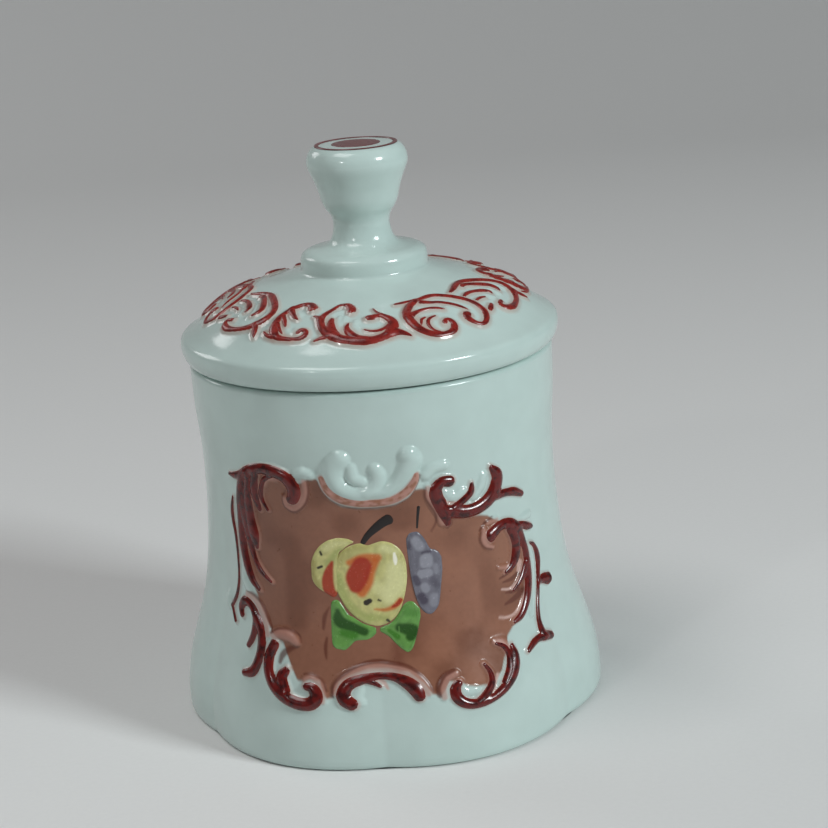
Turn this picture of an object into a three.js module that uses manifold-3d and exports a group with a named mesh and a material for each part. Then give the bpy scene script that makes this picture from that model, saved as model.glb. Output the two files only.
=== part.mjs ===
// A lidded cream jar in pressed white glass, with fired enamel ornament.
// Millimetres, +Z up, the base on z = 0, the painted front facing -Y.
import * as THREE from 'three';
import { mergeVertices } from 'three/addons/utils/BufferGeometryUtils.js';
import Module from 'manifold-3d';

const wasm = await Module();
wasm.setup();

// ---- sizes of the jar -------------------------------------------------------
const NECK_R = 41.1;        // outside radius at the waist of the wall
const FLARE = 8.8;          // how far the foot spreads past the waist
const JAR_H = 85.4;          // table to the ground mouth rim
const WALL = 3.6;           // glass thickness behind the deepest groove
const FLOOR = 6;            // table to the inside floor
const LOBES = 6;            // bulges round the wall
const LOBE_TURN = -4;       // degrees, where the front groove stands
const GROOVE = 2.3;         // depth of the grooves at the foot
const FOOT_RECESS = 1.6;    // hollow ground into the underside
const FOOT_RING_R = 41;     // inside radius of the ring that touches the table

// ---- sizes of the lid -------------------------------------------------------
const SEAT_GAP = 0.3;       // lid rim over jar rim
const FLANGE_CLEARANCE = 0.8;  // radial play of the lid's locating flange
const FLANGE_DEPTH = 5;
const FLANGE_WALL = 3.4;
const RIM_OVERHANG = 1.6;   // lid edge past the mouth of the jar
const LID_GLASS = 4;        // dome thickness
const DOME_RISE = 19.5;     // seat to the shoulder under the knob
const KNOB_RISE = 27.5;     // shoulder to the flat top of the knob
const KNOB_R = 11.6;        // widest part of the knob

// ---- enamel and relief ------------------------------------------------------
const ENAMEL_GAP = 0.3;     // every enamel piece stands this far off the glass
const GROUND_THICK = 0.3;   // the brown wash behind the fruit
const LAYER_2 = ENAMEL_GAP + GROUND_THICK + ENAMEL_GAP;
const SCROLL_RISE = 1.0;
const LID_SCROLL_RISE = 0.8;
const FRUIT_THICK = 0.6;
const DESIGN_H = 85.4;      // jar height the ornament was drawn for
const DESIGN_R = 40;        // radius of the roller its flat drawing was wrapped on
const DESIGN_RIM = 43.75;   // lid radius the scroll band was drawn for

const JAR_SEGMENTS = 72;
const LID_SEGMENTS = 48;
const STROKE_STEP = 2.8;    // mm between sections of a brush stroke

// Outside of the jar: share of the height, share of the flare.
const WALL_CURVE = [
  [0, 1], [0.05, 1], [0.09, 0.97], [0.14, 0.89], [0.19, 0.765], [0.25, 0.58], [0.31, 0.4],
  [0.37, 0.26], [0.44, 0.15], [0.52, 0.07], [0.6, 0.02], [0.67, 0], [0.77, 0.015],
  [0.88, 0.09], [1, 0.115],
];

// Outside of the lid dome: share of the rim radius, share of the rise.
const DOME_CURVE = [
  [0.334, 0.955], [0.375, 0.925], [0.46, 0.865], [0.55, 0.805], [0.62, 0.76], [0.685, 0.71],
  [0.73, 0.67], [0.78, 0.615], [0.825, 0.55], [0.87, 0.47], [0.915, 0.39], [0.95, 0.34],
];

// Knob: share of its widest radius, share of its rise.
const KNOB_CURVE = [
  [1.26, 0.01], [1.25, 0.08], [1.18, 0.125], [0.97, 0.145], [0.72, 0.18], [0.6, 0.25],
  [0.56, 0.34], [0.6, 0.42], [0.69, 0.475], [0.75, 0.535], [0.81, 0.64], [0.92, 0.755],
  [1, 0.845], [0.985, 0.905], [0.93, 0.955], [0.85, 1],
];

const MILK_GLASS = { color: 0xc3d2cc, roughness: 0.16, metalness: 0 };
const RED = { color: 0x5a0a08, roughness: 0.25, metalness: 0 };
const LID_RED = { color: 0x8c241c, roughness: 0.3, metalness: 0 };
const GROUND = { color: 0x7c543f, roughness: 0.4, metalness: 0 };
const ROSE = { color: 0xa07a6c, roughness: 0.35, metalness: 0 };
const FRUIT = { color: 0xb5b070, roughness: 0.3, metalness: 0 };
const LEAF = { color: 0x3f7a24, roughness: 0.35, metalness: 0 };
const GRAPE = { color: 0x77717f, roughness: 0.35, metalness: 0 };
const BLACK = { color: 0x160805, roughness: 0.3, metalness: 0 };

const rad = (degrees) => degrees * Math.PI / 180;

/** Value of a table of [x, y] rows at x, on straight lines between them. */
function table(rows, x) {
  if (x <= rows[0][0]) return rows[0][1];
  for (let i = 1; i < rows.length; i += 1) {
    const [x0, y0] = rows[i - 1];
    const [x1, y1] = rows[i];
    if (x <= x1) return y0 + (y1 - y0) * (x - x0) / (x1 - x0);
  }
  return rows[rows.length - 1][1];
}

const crestRadius = (z) => NECK_R + FLARE * table(WALL_CURVE, z / JAR_H);
const grooveDepth = (z) => GROOVE * Math.max(0, 1 - z / (0.92 * JAR_H));

/** How much the six grooves take off the radius at an angle and height. */
function grooveAt(theta, z) {
  const across = Math.abs(Math.sin(LOBES / 2 * (theta - rad(LOBE_TURN))));
  return grooveDepth(z) * (1 - across);
}

const wallRadius = (theta, z) => crestRadius(z) - grooveAt(theta, z);
const mouthRadius = crestRadius(JAR_H) - WALL;
const seatZ = JAR_H + SEAT_GAP;
const shoulderZ = seatZ + DOME_RISE;
const topZ = shoulderZ + KNOB_RISE;
const rimRadius = crestRadius(JAR_H) + RIM_OVERHANG;

/** Height of the bare dome over a radius. */
function domeZ(r) {
  const falling = DOME_CURVE.map(([share, rise]) => [share * rimRadius, rise]);
  return seatZ + DOME_RISE * table(falling, r);
}

/** Joins equal corners and drops triangles that have closed up. */
function closed(geometry) {
  geometry.deleteAttribute('normal');
  geometry.deleteAttribute('uv');
  const merged = mergeVertices(geometry, 1e-4);
  const kept = [];
  const index = merged.index.array;
  for (let i = 0; i < index.length; i += 3) {
    const [a, b, c] = [index[i], index[i + 1], index[i + 2]];
    if (a !== b && b !== c && c !== a) kept.push(a, b, c);
  }
  merged.setIndex(kept);
  merged.computeVertexNormals();
  return merged;
}

function named(name, geometry, finish) {
  const mesh = new THREE.Mesh(geometry, new THREE.MeshStandardMaterial(finish));
  mesh.name = name;
  return mesh;
}

// ---- the two pieces of glass ------------------------------------------------

/** Spins a profile of [r, z] rows about Z, with a corner on every groove. */
function spun(profile, segments, phase = 0) {
  const points = profile.map(([r, z]) => new THREE.Vector2(r, z));
  const lathe = new THREE.LatheGeometry(points, segments, phase, 2 * Math.PI);
  return lathe.rotateX(Math.PI / 2);
}

/** Half section of the jar: underside, outside wall, rim, inside, floor. */
function jarProfile() {
  const inside = [];
  for (const z of [66, 50, 38, 28, 20, 14]) {
    const height = z / DESIGN_H * JAR_H;
    inside.push([crestRadius(height) - grooveDepth(height) - WALL, height]);
  }
  const floorR = inside[inside.length - 1][0];
  return [
    [0, FOOT_RECESS], [FOOT_RING_R - 1.5, FOOT_RECESS], [FOOT_RING_R, 0],
    [crestRadius(0) - 1.3, 0], [crestRadius(0) - 0.3, 0.5],
    [crestRadius(1.6), 1.6],
    ...WALL_CURVE.slice(1, -1).map(([share]) => [crestRadius(share * JAR_H), share * JAR_H]),
    [crestRadius(JAR_H), JAR_H - 0.8], [crestRadius(JAR_H) - 0.8, JAR_H],
    [mouthRadius + 0.6, JAR_H], [mouthRadius, JAR_H - 0.6],
    ...inside,
    [floorR + 0.4, FLOOR + 4], [floorR - 0.8, FLOOR + 1.4], [floorR - 4, FLOOR], [0, FLOOR],
  ];
}

/** The jar: a spun shell whose outside corners are pushed in along the grooves. */
function jarBody() {
  const geometry = spun(jarProfile(), JAR_SEGMENTS, rad(LOBE_TURN));
  const at = geometry.attributes.position;
  for (let i = 0; i < at.count; i += 1) {
    const [x, y, z] = [at.getX(i), at.getY(i), at.getZ(i)];
    const r = Math.hypot(x, y);
    if (r < crestRadius(z) - 2) continue;
    const theta = Math.atan2(x, -y);
    const scale = (r - grooveAt(theta, z)) / r;
    at.setXY(i, x * scale, y * scale);
  }
  return closed(geometry);
}

/** Half section of the lid: hollow dome, locating flange, rim, dome, knob. */
function lidProfile() {
  const flangeR = mouthRadius - FLANGE_CLEARANCE;
  const hollowR = flangeR - FLANGE_WALL;
  const low = seatZ - FLANGE_DEPTH;
  const under = [16, 24, hollowR - 3].map((r) => [r, domeZ(r) - LID_GLASS]);
  const dome = DOME_CURVE.slice().reverse();
  return [
    [0, domeZ(16) - LID_GLASS], ...under, [hollowR, seatZ + 3],
    [hollowR, low + 0.6], [hollowR + 0.6, low], [flangeR - 0.6, low], [flangeR, low + 0.6],
    [flangeR, seatZ], [rimRadius - 2.6, seatZ], [rimRadius - 1.5, seatZ + 0.3],
    [rimRadius - 0.4, seatZ + 1.8], [rimRadius, seatZ + 3.8], [rimRadius - 0.5, seatZ + 5.7],
    ...dome.map(([share, rise]) => [share * rimRadius, seatZ + rise * DOME_RISE]),
    ...KNOB_CURVE.map(([share, rise]) => [share * KNOB_R, shoulderZ + rise * KNOB_RISE]),
    [0, topZ],
  ];
}

// ---- enamel strokes and patches ---------------------------------------------

/** A point on the jar wall: s mm round the flat drawing, z up it, lift off the wall. */
function onWall(s, z, lift) {
  // Wrapped on the flared wall, the drawing widens upwards and rises at its sides.
  const theta = (0.7 + s * (0.976 + 0.0008 * z)) / DESIGN_R;
  const height = (0.5 + 0.977 * z + 0.0017 * s * s) * JAR_H / DESIGN_H;
  const r = wallRadius(theta, height) + lift;
  return [r * Math.sin(theta), -r * Math.cos(theta), height];
}

/** A point on the dome: flat x and y measured on the lid, lift off it. */
function onDome(x, y, lift) {
  const scale = rimRadius / DESIGN_RIM;
  const r = Math.hypot(x, y) * scale;
  return [x * scale, y * scale, domeZ(r) + lift];
}

/** Even samples [u, v, width] along a smooth line through the given rows. */
function sampled(rows, step) {
  const line = new THREE.CatmullRomCurve3(rows.map((p) => new THREE.Vector3(...p)), false, 'centripetal');
  const count = Math.max(3, Math.ceil(line.getLength() / step));
  return line.getSpacedPoints(count).map((p) => [p.x, p.y, p.z]);
}

/** Adds narrowing sections at both ends, so that a stroke ends round. */
function roundEnded(samples) {
  const cap = (end, next) => {
    const [dx, dy] = [end[0] - next[0], end[1] - next[1]];
    const length = Math.hypot(dx, dy) || 1;
    return [[0.34, 0.74], [0.5, 0.24]].map(([out, share]) => {
      const reach = out * end[2] / length;
      return [end[0] + dx * reach, end[1] + dy * reach, end[2] * share];
    });
  };
  const last = samples.length - 1;
  const head = cap(samples[0], samples[1]).reverse();
  return [...head, ...samples, ...cap(samples[last], samples[last - 1])];
}

/** A closed skin over rings of corners, with a flat fan on each end. */
function skinned(rings) {
  const size = rings[0].length;
  const index = [];
  for (let i = 0; i + 1 < rings.length; i += 1) {
    for (let j = 0; j < size; j += 1) {
      const [a, b] = [i * size + j, i * size + (j + 1) % size];
      index.push(a, b + size, b, a, a + size, b + size);
    }
  }
  const far = (rings.length - 1) * size;
  for (let j = 1; j + 1 < size; j += 1) {
    index.push(0, j, j + 1, far, far + j + 1, far + j);
  }
  const geometry = new THREE.BufferGeometry();
  geometry.setAttribute('position', new THREE.Float32BufferAttribute(rings.flat(2), 3));
  geometry.setIndex(index);
  return geometry;
}

/** One raised brush stroke, laid on a surface given by place(u, v, lift). */
function stroke(rows, place, base, rise, step = STROKE_STEP) {
  const line = roundEnded(sampled(rows, step));
  const section = [[-0.5, 0], [-0.4, 0.62], [0, 1], [0.4, 0.62], [0.5, 0]];
  const rings = line.map(([u, v, width], i) => {
    const before = line[Math.max(0, i - 1)];
    const after = line[Math.min(line.length - 1, i + 1)];
    const [du, dv] = [after[0] - before[0], after[1] - before[1]];
    const length = Math.hypot(du, dv) || 1;
    const high = rise * Math.min(1, 0.45 + 0.4 * width);
    return section.map(([side, up]) =>
      place(u - dv / length * side * width, v + du / length * side * width, base + up * high));
  });
  return skinned(rings);
}

/** A thin patch between a low and a high edge, rows of [s, zLow, zHigh]. */
function patch(rows, base, thick, across = 8, step = 2) {
  const columns = sampled(rows, step);
  const rings = columns.map(([s, low, high]) => {
    const bottom = [];
    const top = [];
    for (let j = 0; j <= across; j += 1) {
      const share = j / across;
      const z = low + (high - low) * share;
      const edge = Math.min(1, 0.35 + 3 * Math.min(share, 1 - share));
      bottom.push(onWall(s, z, base));
      top.unshift(onWall(s, z, base + thick * edge));
    }
    return [...bottom, ...top].reverse();
  });
  return skinned(rings);
}

function solid(geometry) {
  const clean = closed(geometry);
  return new wasm.Manifold(new wasm.Mesh({
    numProp: 3,
    vertProperties: new Float32Array(clean.attributes.position.array),
    triVerts: new Uint32Array(clean.index.array),
  }));
}

/** One closed body made of several geometries that run into each other. */
function joined(geometries) {
  const body = geometries.map(solid).reduce((whole, piece) => whole.add(piece));
  const mesh = body.getMesh();
  const geometry = new THREE.BufferGeometry();
  geometry.setAttribute('position', new THREE.Float32BufferAttribute(mesh.vertProperties, 3));
  geometry.setIndex(Array.from(mesh.triVerts));
  return closed(geometry);
}

/** A moulded scroll on the wall: strokes of [s, z, width] rows, one body. */
function scroll(strokes, base = LAYER_2, rise = SCROLL_RISE) {
  return joined(strokes.map((rows, i) => stroke(rows, onWall, base, rise - 0.06 * i)));
}

/** A ring of strokes on the lid: rows of [degrees, r, width], one body. */
function lidScroll(strokes, turn) {
  return joined(strokes.map((rows, i) => {
    const flat = rows.map(([degrees, r, width]) => {
      // On the sloping dome the drawing slides back, most at its inner edge and its sides.
      const slide = (3.5 - 0.25 * (r - 30)) * (0.4 + 0.6 / Math.cos(rad(degrees)));
      const x = r * Math.sin(rad(degrees));
      const y = slide - r * Math.cos(rad(degrees));
      const [cos, sin] = [Math.cos(rad(turn)), Math.sin(rad(turn))];
      return [x * cos - y * sin, x * sin + y * cos, width];
    });
    return stroke(flat, onDome, ENAMEL_GAP + 0.1, LID_SCROLL_RISE - 0.05 * i, 3.2);
  }));
}

// Cartouche scrolls on the wall. Each row is [s, z, width].
const SCROLLS = {
  scroll_top_left: [
    [[-37.8, 62.7, 0.9], [-35.8, 63, 1.5], [-33.6, 63.9, 1.8], [-31.2, 65.5, 2.1], [-28.6, 66.7, 2.3],
      [-25.6, 67.3, 2.5], [-22.8, 67, 2.8], [-20.6, 65.8, 3], [-19.5, 63.8, 3], [-19.6, 62, 2.8],
      [-20.2, 61.1, 2.4]],
    [[-31.6, 65.2, 1.8], [-33.6, 62.4, 2.2], [-34.7, 59, 2.3], [-35.2, 55, 2.3], [-35.3, 50, 2.5],
      [-34.9, 45.6, 2.6], [-33.8, 41.8, 2.6], [-32.4, 39.2, 2.2], [-30.4, 37.6, 1.2]],
    [[-32.9, 63.4, 1.4], [-33.7, 58.6, 2.2], [-33.4, 52.6, 2.4], [-32.4, 48, 2.1], [-31.4, 44.8, 1.6],
      [-29.6, 42.2, 1.5], [-26.8, 40.3, 0.7]],
    [[-31, 65, 1.2], [-31.9, 60, 2], [-31.8, 54.4, 2.6], [-31, 50.4, 2.8], [-30.5, 47.4, 1]],
    [[-28.8, 66, 1.8], [-29.6, 62.8, 2.1], [-29.6, 59.8, 2.2], [-28.7, 57, 1.2]],
    [[-24, 66.4, 1], [-26.6, 64.6, 1.1], [-27.8, 61.6, 1.2], [-27.6, 59.4, 1.1], [-26.4, 57.4, 0.8]],
  ],
  hairline_left: [
    [[-37.8, 57.2, 0.5], [-38.6, 54.4, 1], [-38.7, 51.6, 1.1], [-38, 47.6, 0.9], [-37.6, 42, 0.7],
      [-37.6, 37.6, 0.8], [-38.5, 33.6, 1], [-40.5, 30, 0.9]],
    [[-40.6, 30.2, 0.9], [-39.7, 28.6, 0.9], [-38.7, 27, 0.9]],
  ],
  scroll_left: [
    [[-36.2, 29.6, 1.6], [-36.6, 31.4, 1.9], [-35.2, 33.2, 2], [-33.2, 33, 2], [-31.4, 31.2, 2.2],
      [-30, 28.8, 2.2], [-29.4, 25.4, 2.1], [-29.9, 21.6, 2], [-31.2, 18.6, 2], [-33.7, 17.4, 1.3]],
    [[-32, 32.2, 1.3], [-31.6, 29.4, 1.7], [-32.1, 26.2, 1.6], [-33.3, 23.7, 1.2]],
  ],
  scroll_bottom_left: [
    [[-25.8, 26.7, 2], [-27, 23.6, 2.2], [-27, 20.4, 2.3], [-25.5, 17.6, 2.5], [-22.8, 15.6, 2.7],
      [-19.8, 14.7, 2.6], [-17.4, 15, 2.6], [-16.2, 16.6, 2.5], [-16.9, 18.4, 2.2], [-18.4, 18.7, 1.5]],
    [[-22.6, 21.6, 1.4], [-23.7, 19.6, 2.3], [-22.8, 16.8, 2.4]],
  ],
  scroll_bottom_centre: [
    [[-9.2, 15.3, 2.5], [-10.7, 16.4, 2.6], [-10.8, 18.2, 2.4], [-9.6, 19.9, 2.3], [-7, 20.9, 2],
      [-4, 21.4, 1.5], [-1, 21.1, 1.7], [1.3, 19.9, 2.4], [2.9, 18.2, 2.6], [3.7, 16.3, 2]],
    [[-7.4, 20.7, 1.1], [-5.2, 20, 1], [-3.7, 19, 0.6]],
  ],
  scroll_bottom_right: [
    [[11.4, 18.3, 1.4], [10.5, 17.2, 1.9], [10.7, 15.1, 2], [12.4, 13.4, 2], [15, 12.8, 1.9],
      [18, 13.2, 1.8], [20.8, 14.5, 2.1], [23.1, 16.6, 2.4], [24.3, 19.4, 2.2], [24.1, 22.4, 1]],
    [[17, 20.8, 0.6], [18, 18.6, 1], [17.9, 16.2, 1.4], [16.2, 14.2, 1.6], [14.4, 13.2, 1.2]],
    [[20.4, 24.2, 0.6], [22.2, 22.8, 1], [23, 20.6, 1.2], [22.4, 17.8, 1.5], [20.6, 15.4, 1.2]],
  ],
  scroll_right: [
    [[22.8, 48.2, 3.2], [24.4, 49.1, 2.7], [26.6, 49.5, 2.3], [28.8, 48.6, 2.6], [30.8, 46.8, 2.5],
      [32.2, 44.2, 2.1], [33.2, 40.6, 2], [33.4, 36.8, 2.4], [32.8, 33.2, 2.6], [31.3, 29.8, 2.4],
      [28.8, 27.4, 1.9], [26.2, 26.7, 1]],
    [[30.4, 47.6, 1.6], [32.8, 46.8, 1.5], [35, 45.5, 1.6], [36.8, 44.6, 1]],
    [[28, 48.2, 1.6], [29.4, 46, 2.4], [30.1, 43.4, 2.8], [29.5, 40.8, 2.9], [27.8, 39, 1.9],
      [25.8, 38.4, 0.8]],
    [[32.8, 38, 1.6], [31.4, 35.8, 1.8], [29.4, 34.3, 1.2], [27.4, 33.5, 0.6]],
  ],
  line_right: [
    [[35.3, 41.3, 0.5], [36.9, 40, 1.1], [37.9, 37.8, 1.7], [38, 35.4, 1.8], [37.2, 32.4, 1.4],
      [36, 29.2, 1.2], [34.7, 26.4, 1.3], [33.9, 23.4, 1.5], [34.1, 20.6, 2], [34.6, 19.6, 1.9]],
    [[37, 31.2, 1.3], [39.2, 30.8, 2.1], [41.2, 29.8, 2.5]],
    [[28.2, 19.2, 1.1], [30.2, 20, 1.6], [32.4, 20.1, 1.5], [34.8, 19.4, 1.9], [37.2, 18.3, 1.5]],
  ],
  scroll_top_right: [
    [[13.8, 63.8, 2.4], [12, 64.1, 2.3], [10.7, 62.8, 2.5], [10.6, 60.8, 2.6], [11.5, 58.4, 2.7],
      [12.3, 56.2, 2.4], [12.8, 54, 1.2]],
    [[12.2, 57.4, 2.2], [15, 56.3, 2.8], [18, 55.7, 2.8], [21, 56, 3], [23.6, 57.2, 3.4],
      [25.1, 59.2, 3.4], [25.4, 61.6, 2.9], [23.7, 64.3, 1]],
    [[25, 56.9, 2], [28, 56.5, 1.7], [30.6, 55.7, 1.8], [33.6, 53.9, 1.2]],
    [[14, 57.5, 1.2], [16.4, 58.5, 1.6], [18.4, 60, 1.6], [18.8, 62, 0.8]],
  ],
};

// White shell at the head of the cartouche, and the rose band under it.
const SHELL_CREST = [
  [[-9.4, 71.4, 2.2], [-10.6, 69, 2.8], [-10.3, 66.2, 2.4], [-8.2, 64, 2.2], [-5.2, 63.2, 2.1],
    [-2.6, 64, 2.1], [-1.2, 66.2, 1.8], [-1.6, 68.8, 1]],
  [[-4, 63.6, 1.6], [-0.6, 63.6, 1.7], [2.4, 65, 2], [4.4, 67.4, 2.6], [5.6, 70.2, 3]],
];
const SHELL_BAND = [
  [[-13.3, 66.8, 1.2], [-12.5, 64.4, 1.8], [-10.6, 62.4, 2], [-7.4, 61.2, 1.9], [-3.4, 60.9, 1.8],
    [0.8, 61.3, 1.9], [4, 62.8, 2.2], [6, 65, 2], [6.8, 66.8, 1.2]],
];

// Filled shapes on the wall. Each row is [s, low edge, high edge].
const GROUND_EDGES = [
  [-33.4, 48, 52], [-32.6, 39, 60.5], [-30, 36.2, 64.6], [-27, 31, 66.3], [-24, 27.5, 66.4], [-21, 21, 65.6],
  [-18.5, 20.4, 64.6], [-16, 20.6, 66.4], [-14, 18, 65.6], [-12, 20.6, 61], [-10, 22.4, 59.4],
  [-6, 23.2, 58.8], [-2, 23.2, 58.6], [2, 22, 59.2], [5, 18.8, 60.6], [8, 18, 62.4], [10, 19.6, 59],
  [13, 17.6, 55.8], [17, 16.6, 55], [20, 17, 54.2], [23, 22.4, 52], [26, 26, 49.6], [29, 28.4, 47.6],
  [31, 31.4, 44.6], [32, 34.6, 40],
];
const FRUIT_LEFT = [
  [-17.1, 43.6, 45.6], [-16.5, 41.8, 48.2], [-15.2, 40.4, 50.4], [-13.8, 39.6, 51.8], [-12.7, 39.6, 52.4],
  [-12.2, 46, 52.6], [-11.4, 49.2, 52.8], [-10, 51.4, 52.8], [-8.6, 52.2, 52.6],
];
const FRUIT_FRONT = [
  [-12, 42, 44.6], [-11.5, 39.8, 47.2], [-10.4, 37.6, 49.4], [-8.6, 34.9, 50.9], [-6.4, 33.1, 51.5],
  [-4.4, 32.4, 51.3], [-2.6, 32.4, 51.8], [-0.6, 33.4, 51.7], [1.2, 35.7, 50.8], [2.4, 38.8, 49.4],
  [3.1, 41.4, 47.6], [3.3, 43.6, 45.6],
];
const LEAF_LEFT = [
  [-13.2, 31, 34], [-12.8, 27.6, 38], [-11.8, 27.1, 38.2], [-10.6, 27, 36.9], [-9.4, 28.2, 34.9], [-8, 29.2, 33.5],
  [-6.6, 29.4, 32.5], [-5.3, 30.2, 31.6],
];
const LEAF_RIGHT = [
  [-2, 31.4, 31.8], [-0.8, 29.7, 32.3], [0.6, 27.8, 33.6], [2, 26.4, 35.4], [3.2, 27, 36.7], [4.2, 29.6, 36.8],
  [5.3, 33, 36],
];
const GRAPES = [
  [3.9, 50.4, 52], [4.5, 41.6, 53], [5.4, 36.6, 53.3], [6.6, 34.4, 53.1], [7.8, 34, 51.4], [8.8, 34.6, 48.9],
  [9.8, 36.6, 48.4], [10.6, 42, 47.4], [11, 44, 46],
];
const FRUIT_STEM = [[-5.5, 52.6, 1], [-4.2, 54, 1.3], [-2.4, 55.5, 1.7], [-0.6, 56.5, 2.1], [0.5, 57, 2.4]];
const GRAPE_STEM = [[6.8, 59.3, 0.7], [6.4, 57, 0.6], [6.2, 54.4, 0.5]];

// Scrolls of the lid, three times round. Each row is [degrees, r, width].
const LID_MOTIFS = {
  a: [
    [[-62.5, 28.8, 1.1], [-58, 28.1, 1.3], [-54, 27.7, 1.4], [-49, 27.9, 1.4], [-44.4, 29.4, 1.5],
      [-40.8, 31.2, 1.5], [-39.8, 33.2, 1.5], [-41.8, 35.2, 1.5], [-46, 36.7, 1.3], [-51, 37.4, 1.2],
      [-56, 37.5, 1.3], [-58.6, 36.7, 1.1]],
    [[-59, 28.6, 1], [-54.6, 28.6, 1.1], [-50.4, 29.8, 1.3], [-47.2, 31.6, 1.4], [-47, 33.4, 1]],
  ],
  b: [
    [[-22, 31, 2.4], [-24.6, 29.7, 1.9], [-28, 29.7, 1.4], [-31.5, 31, 1.5], [-34.4, 33, 1.5], [-35, 35.4, 1.6],
      [-33.2, 37.5, 1.5], [-29.4, 38.1, 0.9], [-25, 38.2, 0.8], [-22, 37.4, 1]],
  ],
  c: [
    [[-6.6, 31.6, 2.1], [-7.8, 30, 1.7], [-11.5, 29.8, 1], [-15, 31.4, 1.1], [-17.6, 33.6, 1.4], [-16.4, 35.8, 1.5],
      [-12, 37.6, 1.7], [-6, 38.5, 1.6], [0, 38.7, 1.6], [6, 38, 1.5], [12.4, 38.1, 0.7]],
    [[0, 33.9, 1.6], [4, 33.6, 1.3], [7.4, 34.8, 1.7], [8.2, 36.4, 1.7], [6, 37.8, 1.4]],
  ],
  d: [
    [[12, 30.6, 0.7], [18, 30.3, 0.9], [24, 29.8, 1.2], [30, 29.8, 1.2], [35, 31, 1.3], [40, 33, 1.3],
      [43.4, 35.4, 1.3], [43.2, 37.6, 1.2], [39.4, 38.6, 1], [36, 37, 1.5]],
    [[19, 30.5, 1.1], [15.6, 32.2, 1.5], [14.2, 34.4, 1.7], [15.4, 36.8, 1.6], [19.4, 38.4, 1.3], [24, 39, 1.1],
      [28.2, 38.4, 1.2], [28.4, 37, 1]],
  ],
};

const group = new THREE.Group();
group.name = 'cream_jar';
const jar = new THREE.Group();
jar.name = 'jar';
const lid = new THREE.Group();
lid.name = 'lid_group';
group.add(jar, lid);

jar.add(named('jar_body', jarBody(), MILK_GLASS));
lid.add(named('lid', closed(spun(lidProfile(), LID_SEGMENTS)), MILK_GLASS));

jar.add(named('panel_ground', closed(patch(GROUND_EDGES, ENAMEL_GAP, GROUND_THICK, 7, 3.6)), GROUND));
for (const [name, strokes] of Object.entries(SCROLLS)) {
  jar.add(named(name, scroll(strokes), RED));
}
jar.add(named('shell_crest', scroll(SHELL_CREST, ENAMEL_GAP, 1.6), MILK_GLASS));
jar.add(named('shell_band', scroll(SHELL_BAND, LAYER_2, 0.7), ROSE));

const filled = [
  ['fruit_left', FRUIT_LEFT, FRUIT], ['fruit_front', FRUIT_FRONT, FRUIT],
  ['leaf_left', LEAF_LEFT, LEAF], ['leaf_right', LEAF_RIGHT, LEAF], ['grapes', GRAPES, GRAPE],
];
for (const [name, edges, finish] of filled) {
  jar.add(named(name, closed(patch(edges, LAYER_2, FRUIT_THICK, 5, 2)), finish));
}
jar.add(named('fruit_stem', closed(stroke(FRUIT_STEM, onWall, LAYER_2, 0.6)), BLACK));
jar.add(named('grape_stem', closed(stroke(GRAPE_STEM, onWall, LAYER_2, 0.5)), BLACK));

for (let turn = 0; turn < 3; turn += 1) {
  for (const [letter, strokes] of Object.entries(LID_MOTIFS)) {
    lid.add(named(`lid_scroll_${letter}${turn + 1}`, lidScroll(strokes, 120 * turn), LID_RED));
  }
}

/** A flat ring or disc of enamel on top of the knob. */
function knobEnamel(inner, outer, thick) {
  const low = topZ + ENAMEL_GAP;
  const high = low + thick;
  const rows = inner > 0
    ? [[inner, low], [outer, low], [outer, high - 0.1], [outer - 0.15, high], [inner + 0.15, high],
      [inner, high - 0.1], [inner, low]]
    : [[0, low], [outer, low], [outer, high - 0.1], [outer - 0.15, high], [0, high]];
  return closed(spun(rows, 36));
}
lid.add(named('knob_ring', knobEnamel(KNOB_R * 0.74, KNOB_R * 0.82, 0.4), RED));
lid.add(named('knob_disc', knobEnamel(0, KNOB_R * 0.483, 0.4), RED));

export default group;
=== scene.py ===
"""A lidded cream jar in pressed white glass, with fired enamel scrolls and painted fruit.

Lengths inside the classes are millimetres, as a glass mould is drawn; meshes are turned into metres last.
The jar's ornament is drawn flat as (s, z), s across from the front and z up, and WallShape wraps it round.
The lid's is drawn from above as (degrees, radius), and LidGlass slides it back on the dome and turns it.
"""

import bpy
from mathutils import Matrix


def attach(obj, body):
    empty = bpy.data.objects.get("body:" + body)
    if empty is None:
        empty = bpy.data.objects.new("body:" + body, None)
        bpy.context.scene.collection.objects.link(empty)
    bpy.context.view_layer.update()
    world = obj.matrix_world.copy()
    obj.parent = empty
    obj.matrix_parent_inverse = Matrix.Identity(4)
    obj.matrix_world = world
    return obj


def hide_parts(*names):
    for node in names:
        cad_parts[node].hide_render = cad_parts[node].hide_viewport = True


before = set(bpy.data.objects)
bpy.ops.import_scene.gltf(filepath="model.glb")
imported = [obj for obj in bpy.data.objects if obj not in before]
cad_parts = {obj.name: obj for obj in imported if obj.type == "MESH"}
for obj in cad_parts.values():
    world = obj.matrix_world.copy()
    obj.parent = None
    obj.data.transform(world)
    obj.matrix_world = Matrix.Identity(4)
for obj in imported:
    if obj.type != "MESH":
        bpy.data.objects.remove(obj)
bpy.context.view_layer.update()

import logging
import math
from dataclasses import dataclass, field
from enum import Enum

import bpy
import numpy as np
from mathutils import Matrix, Vector

log = logging.getLogger("cream_jar")

MM = 0.001
WRAP_R = 40.0               # radius that distances round the jar are measured on
SAMPLE = 0.25               # between samples of a ridge or a broad line
FINE_SAMPLE = 0.2           # between samples of a thin line
Row = tuple[float, ...]
Line = tuple[Row, ...]
Colour = tuple[float, float, float]


# ---------------------------------------------------------------------- colour

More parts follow.
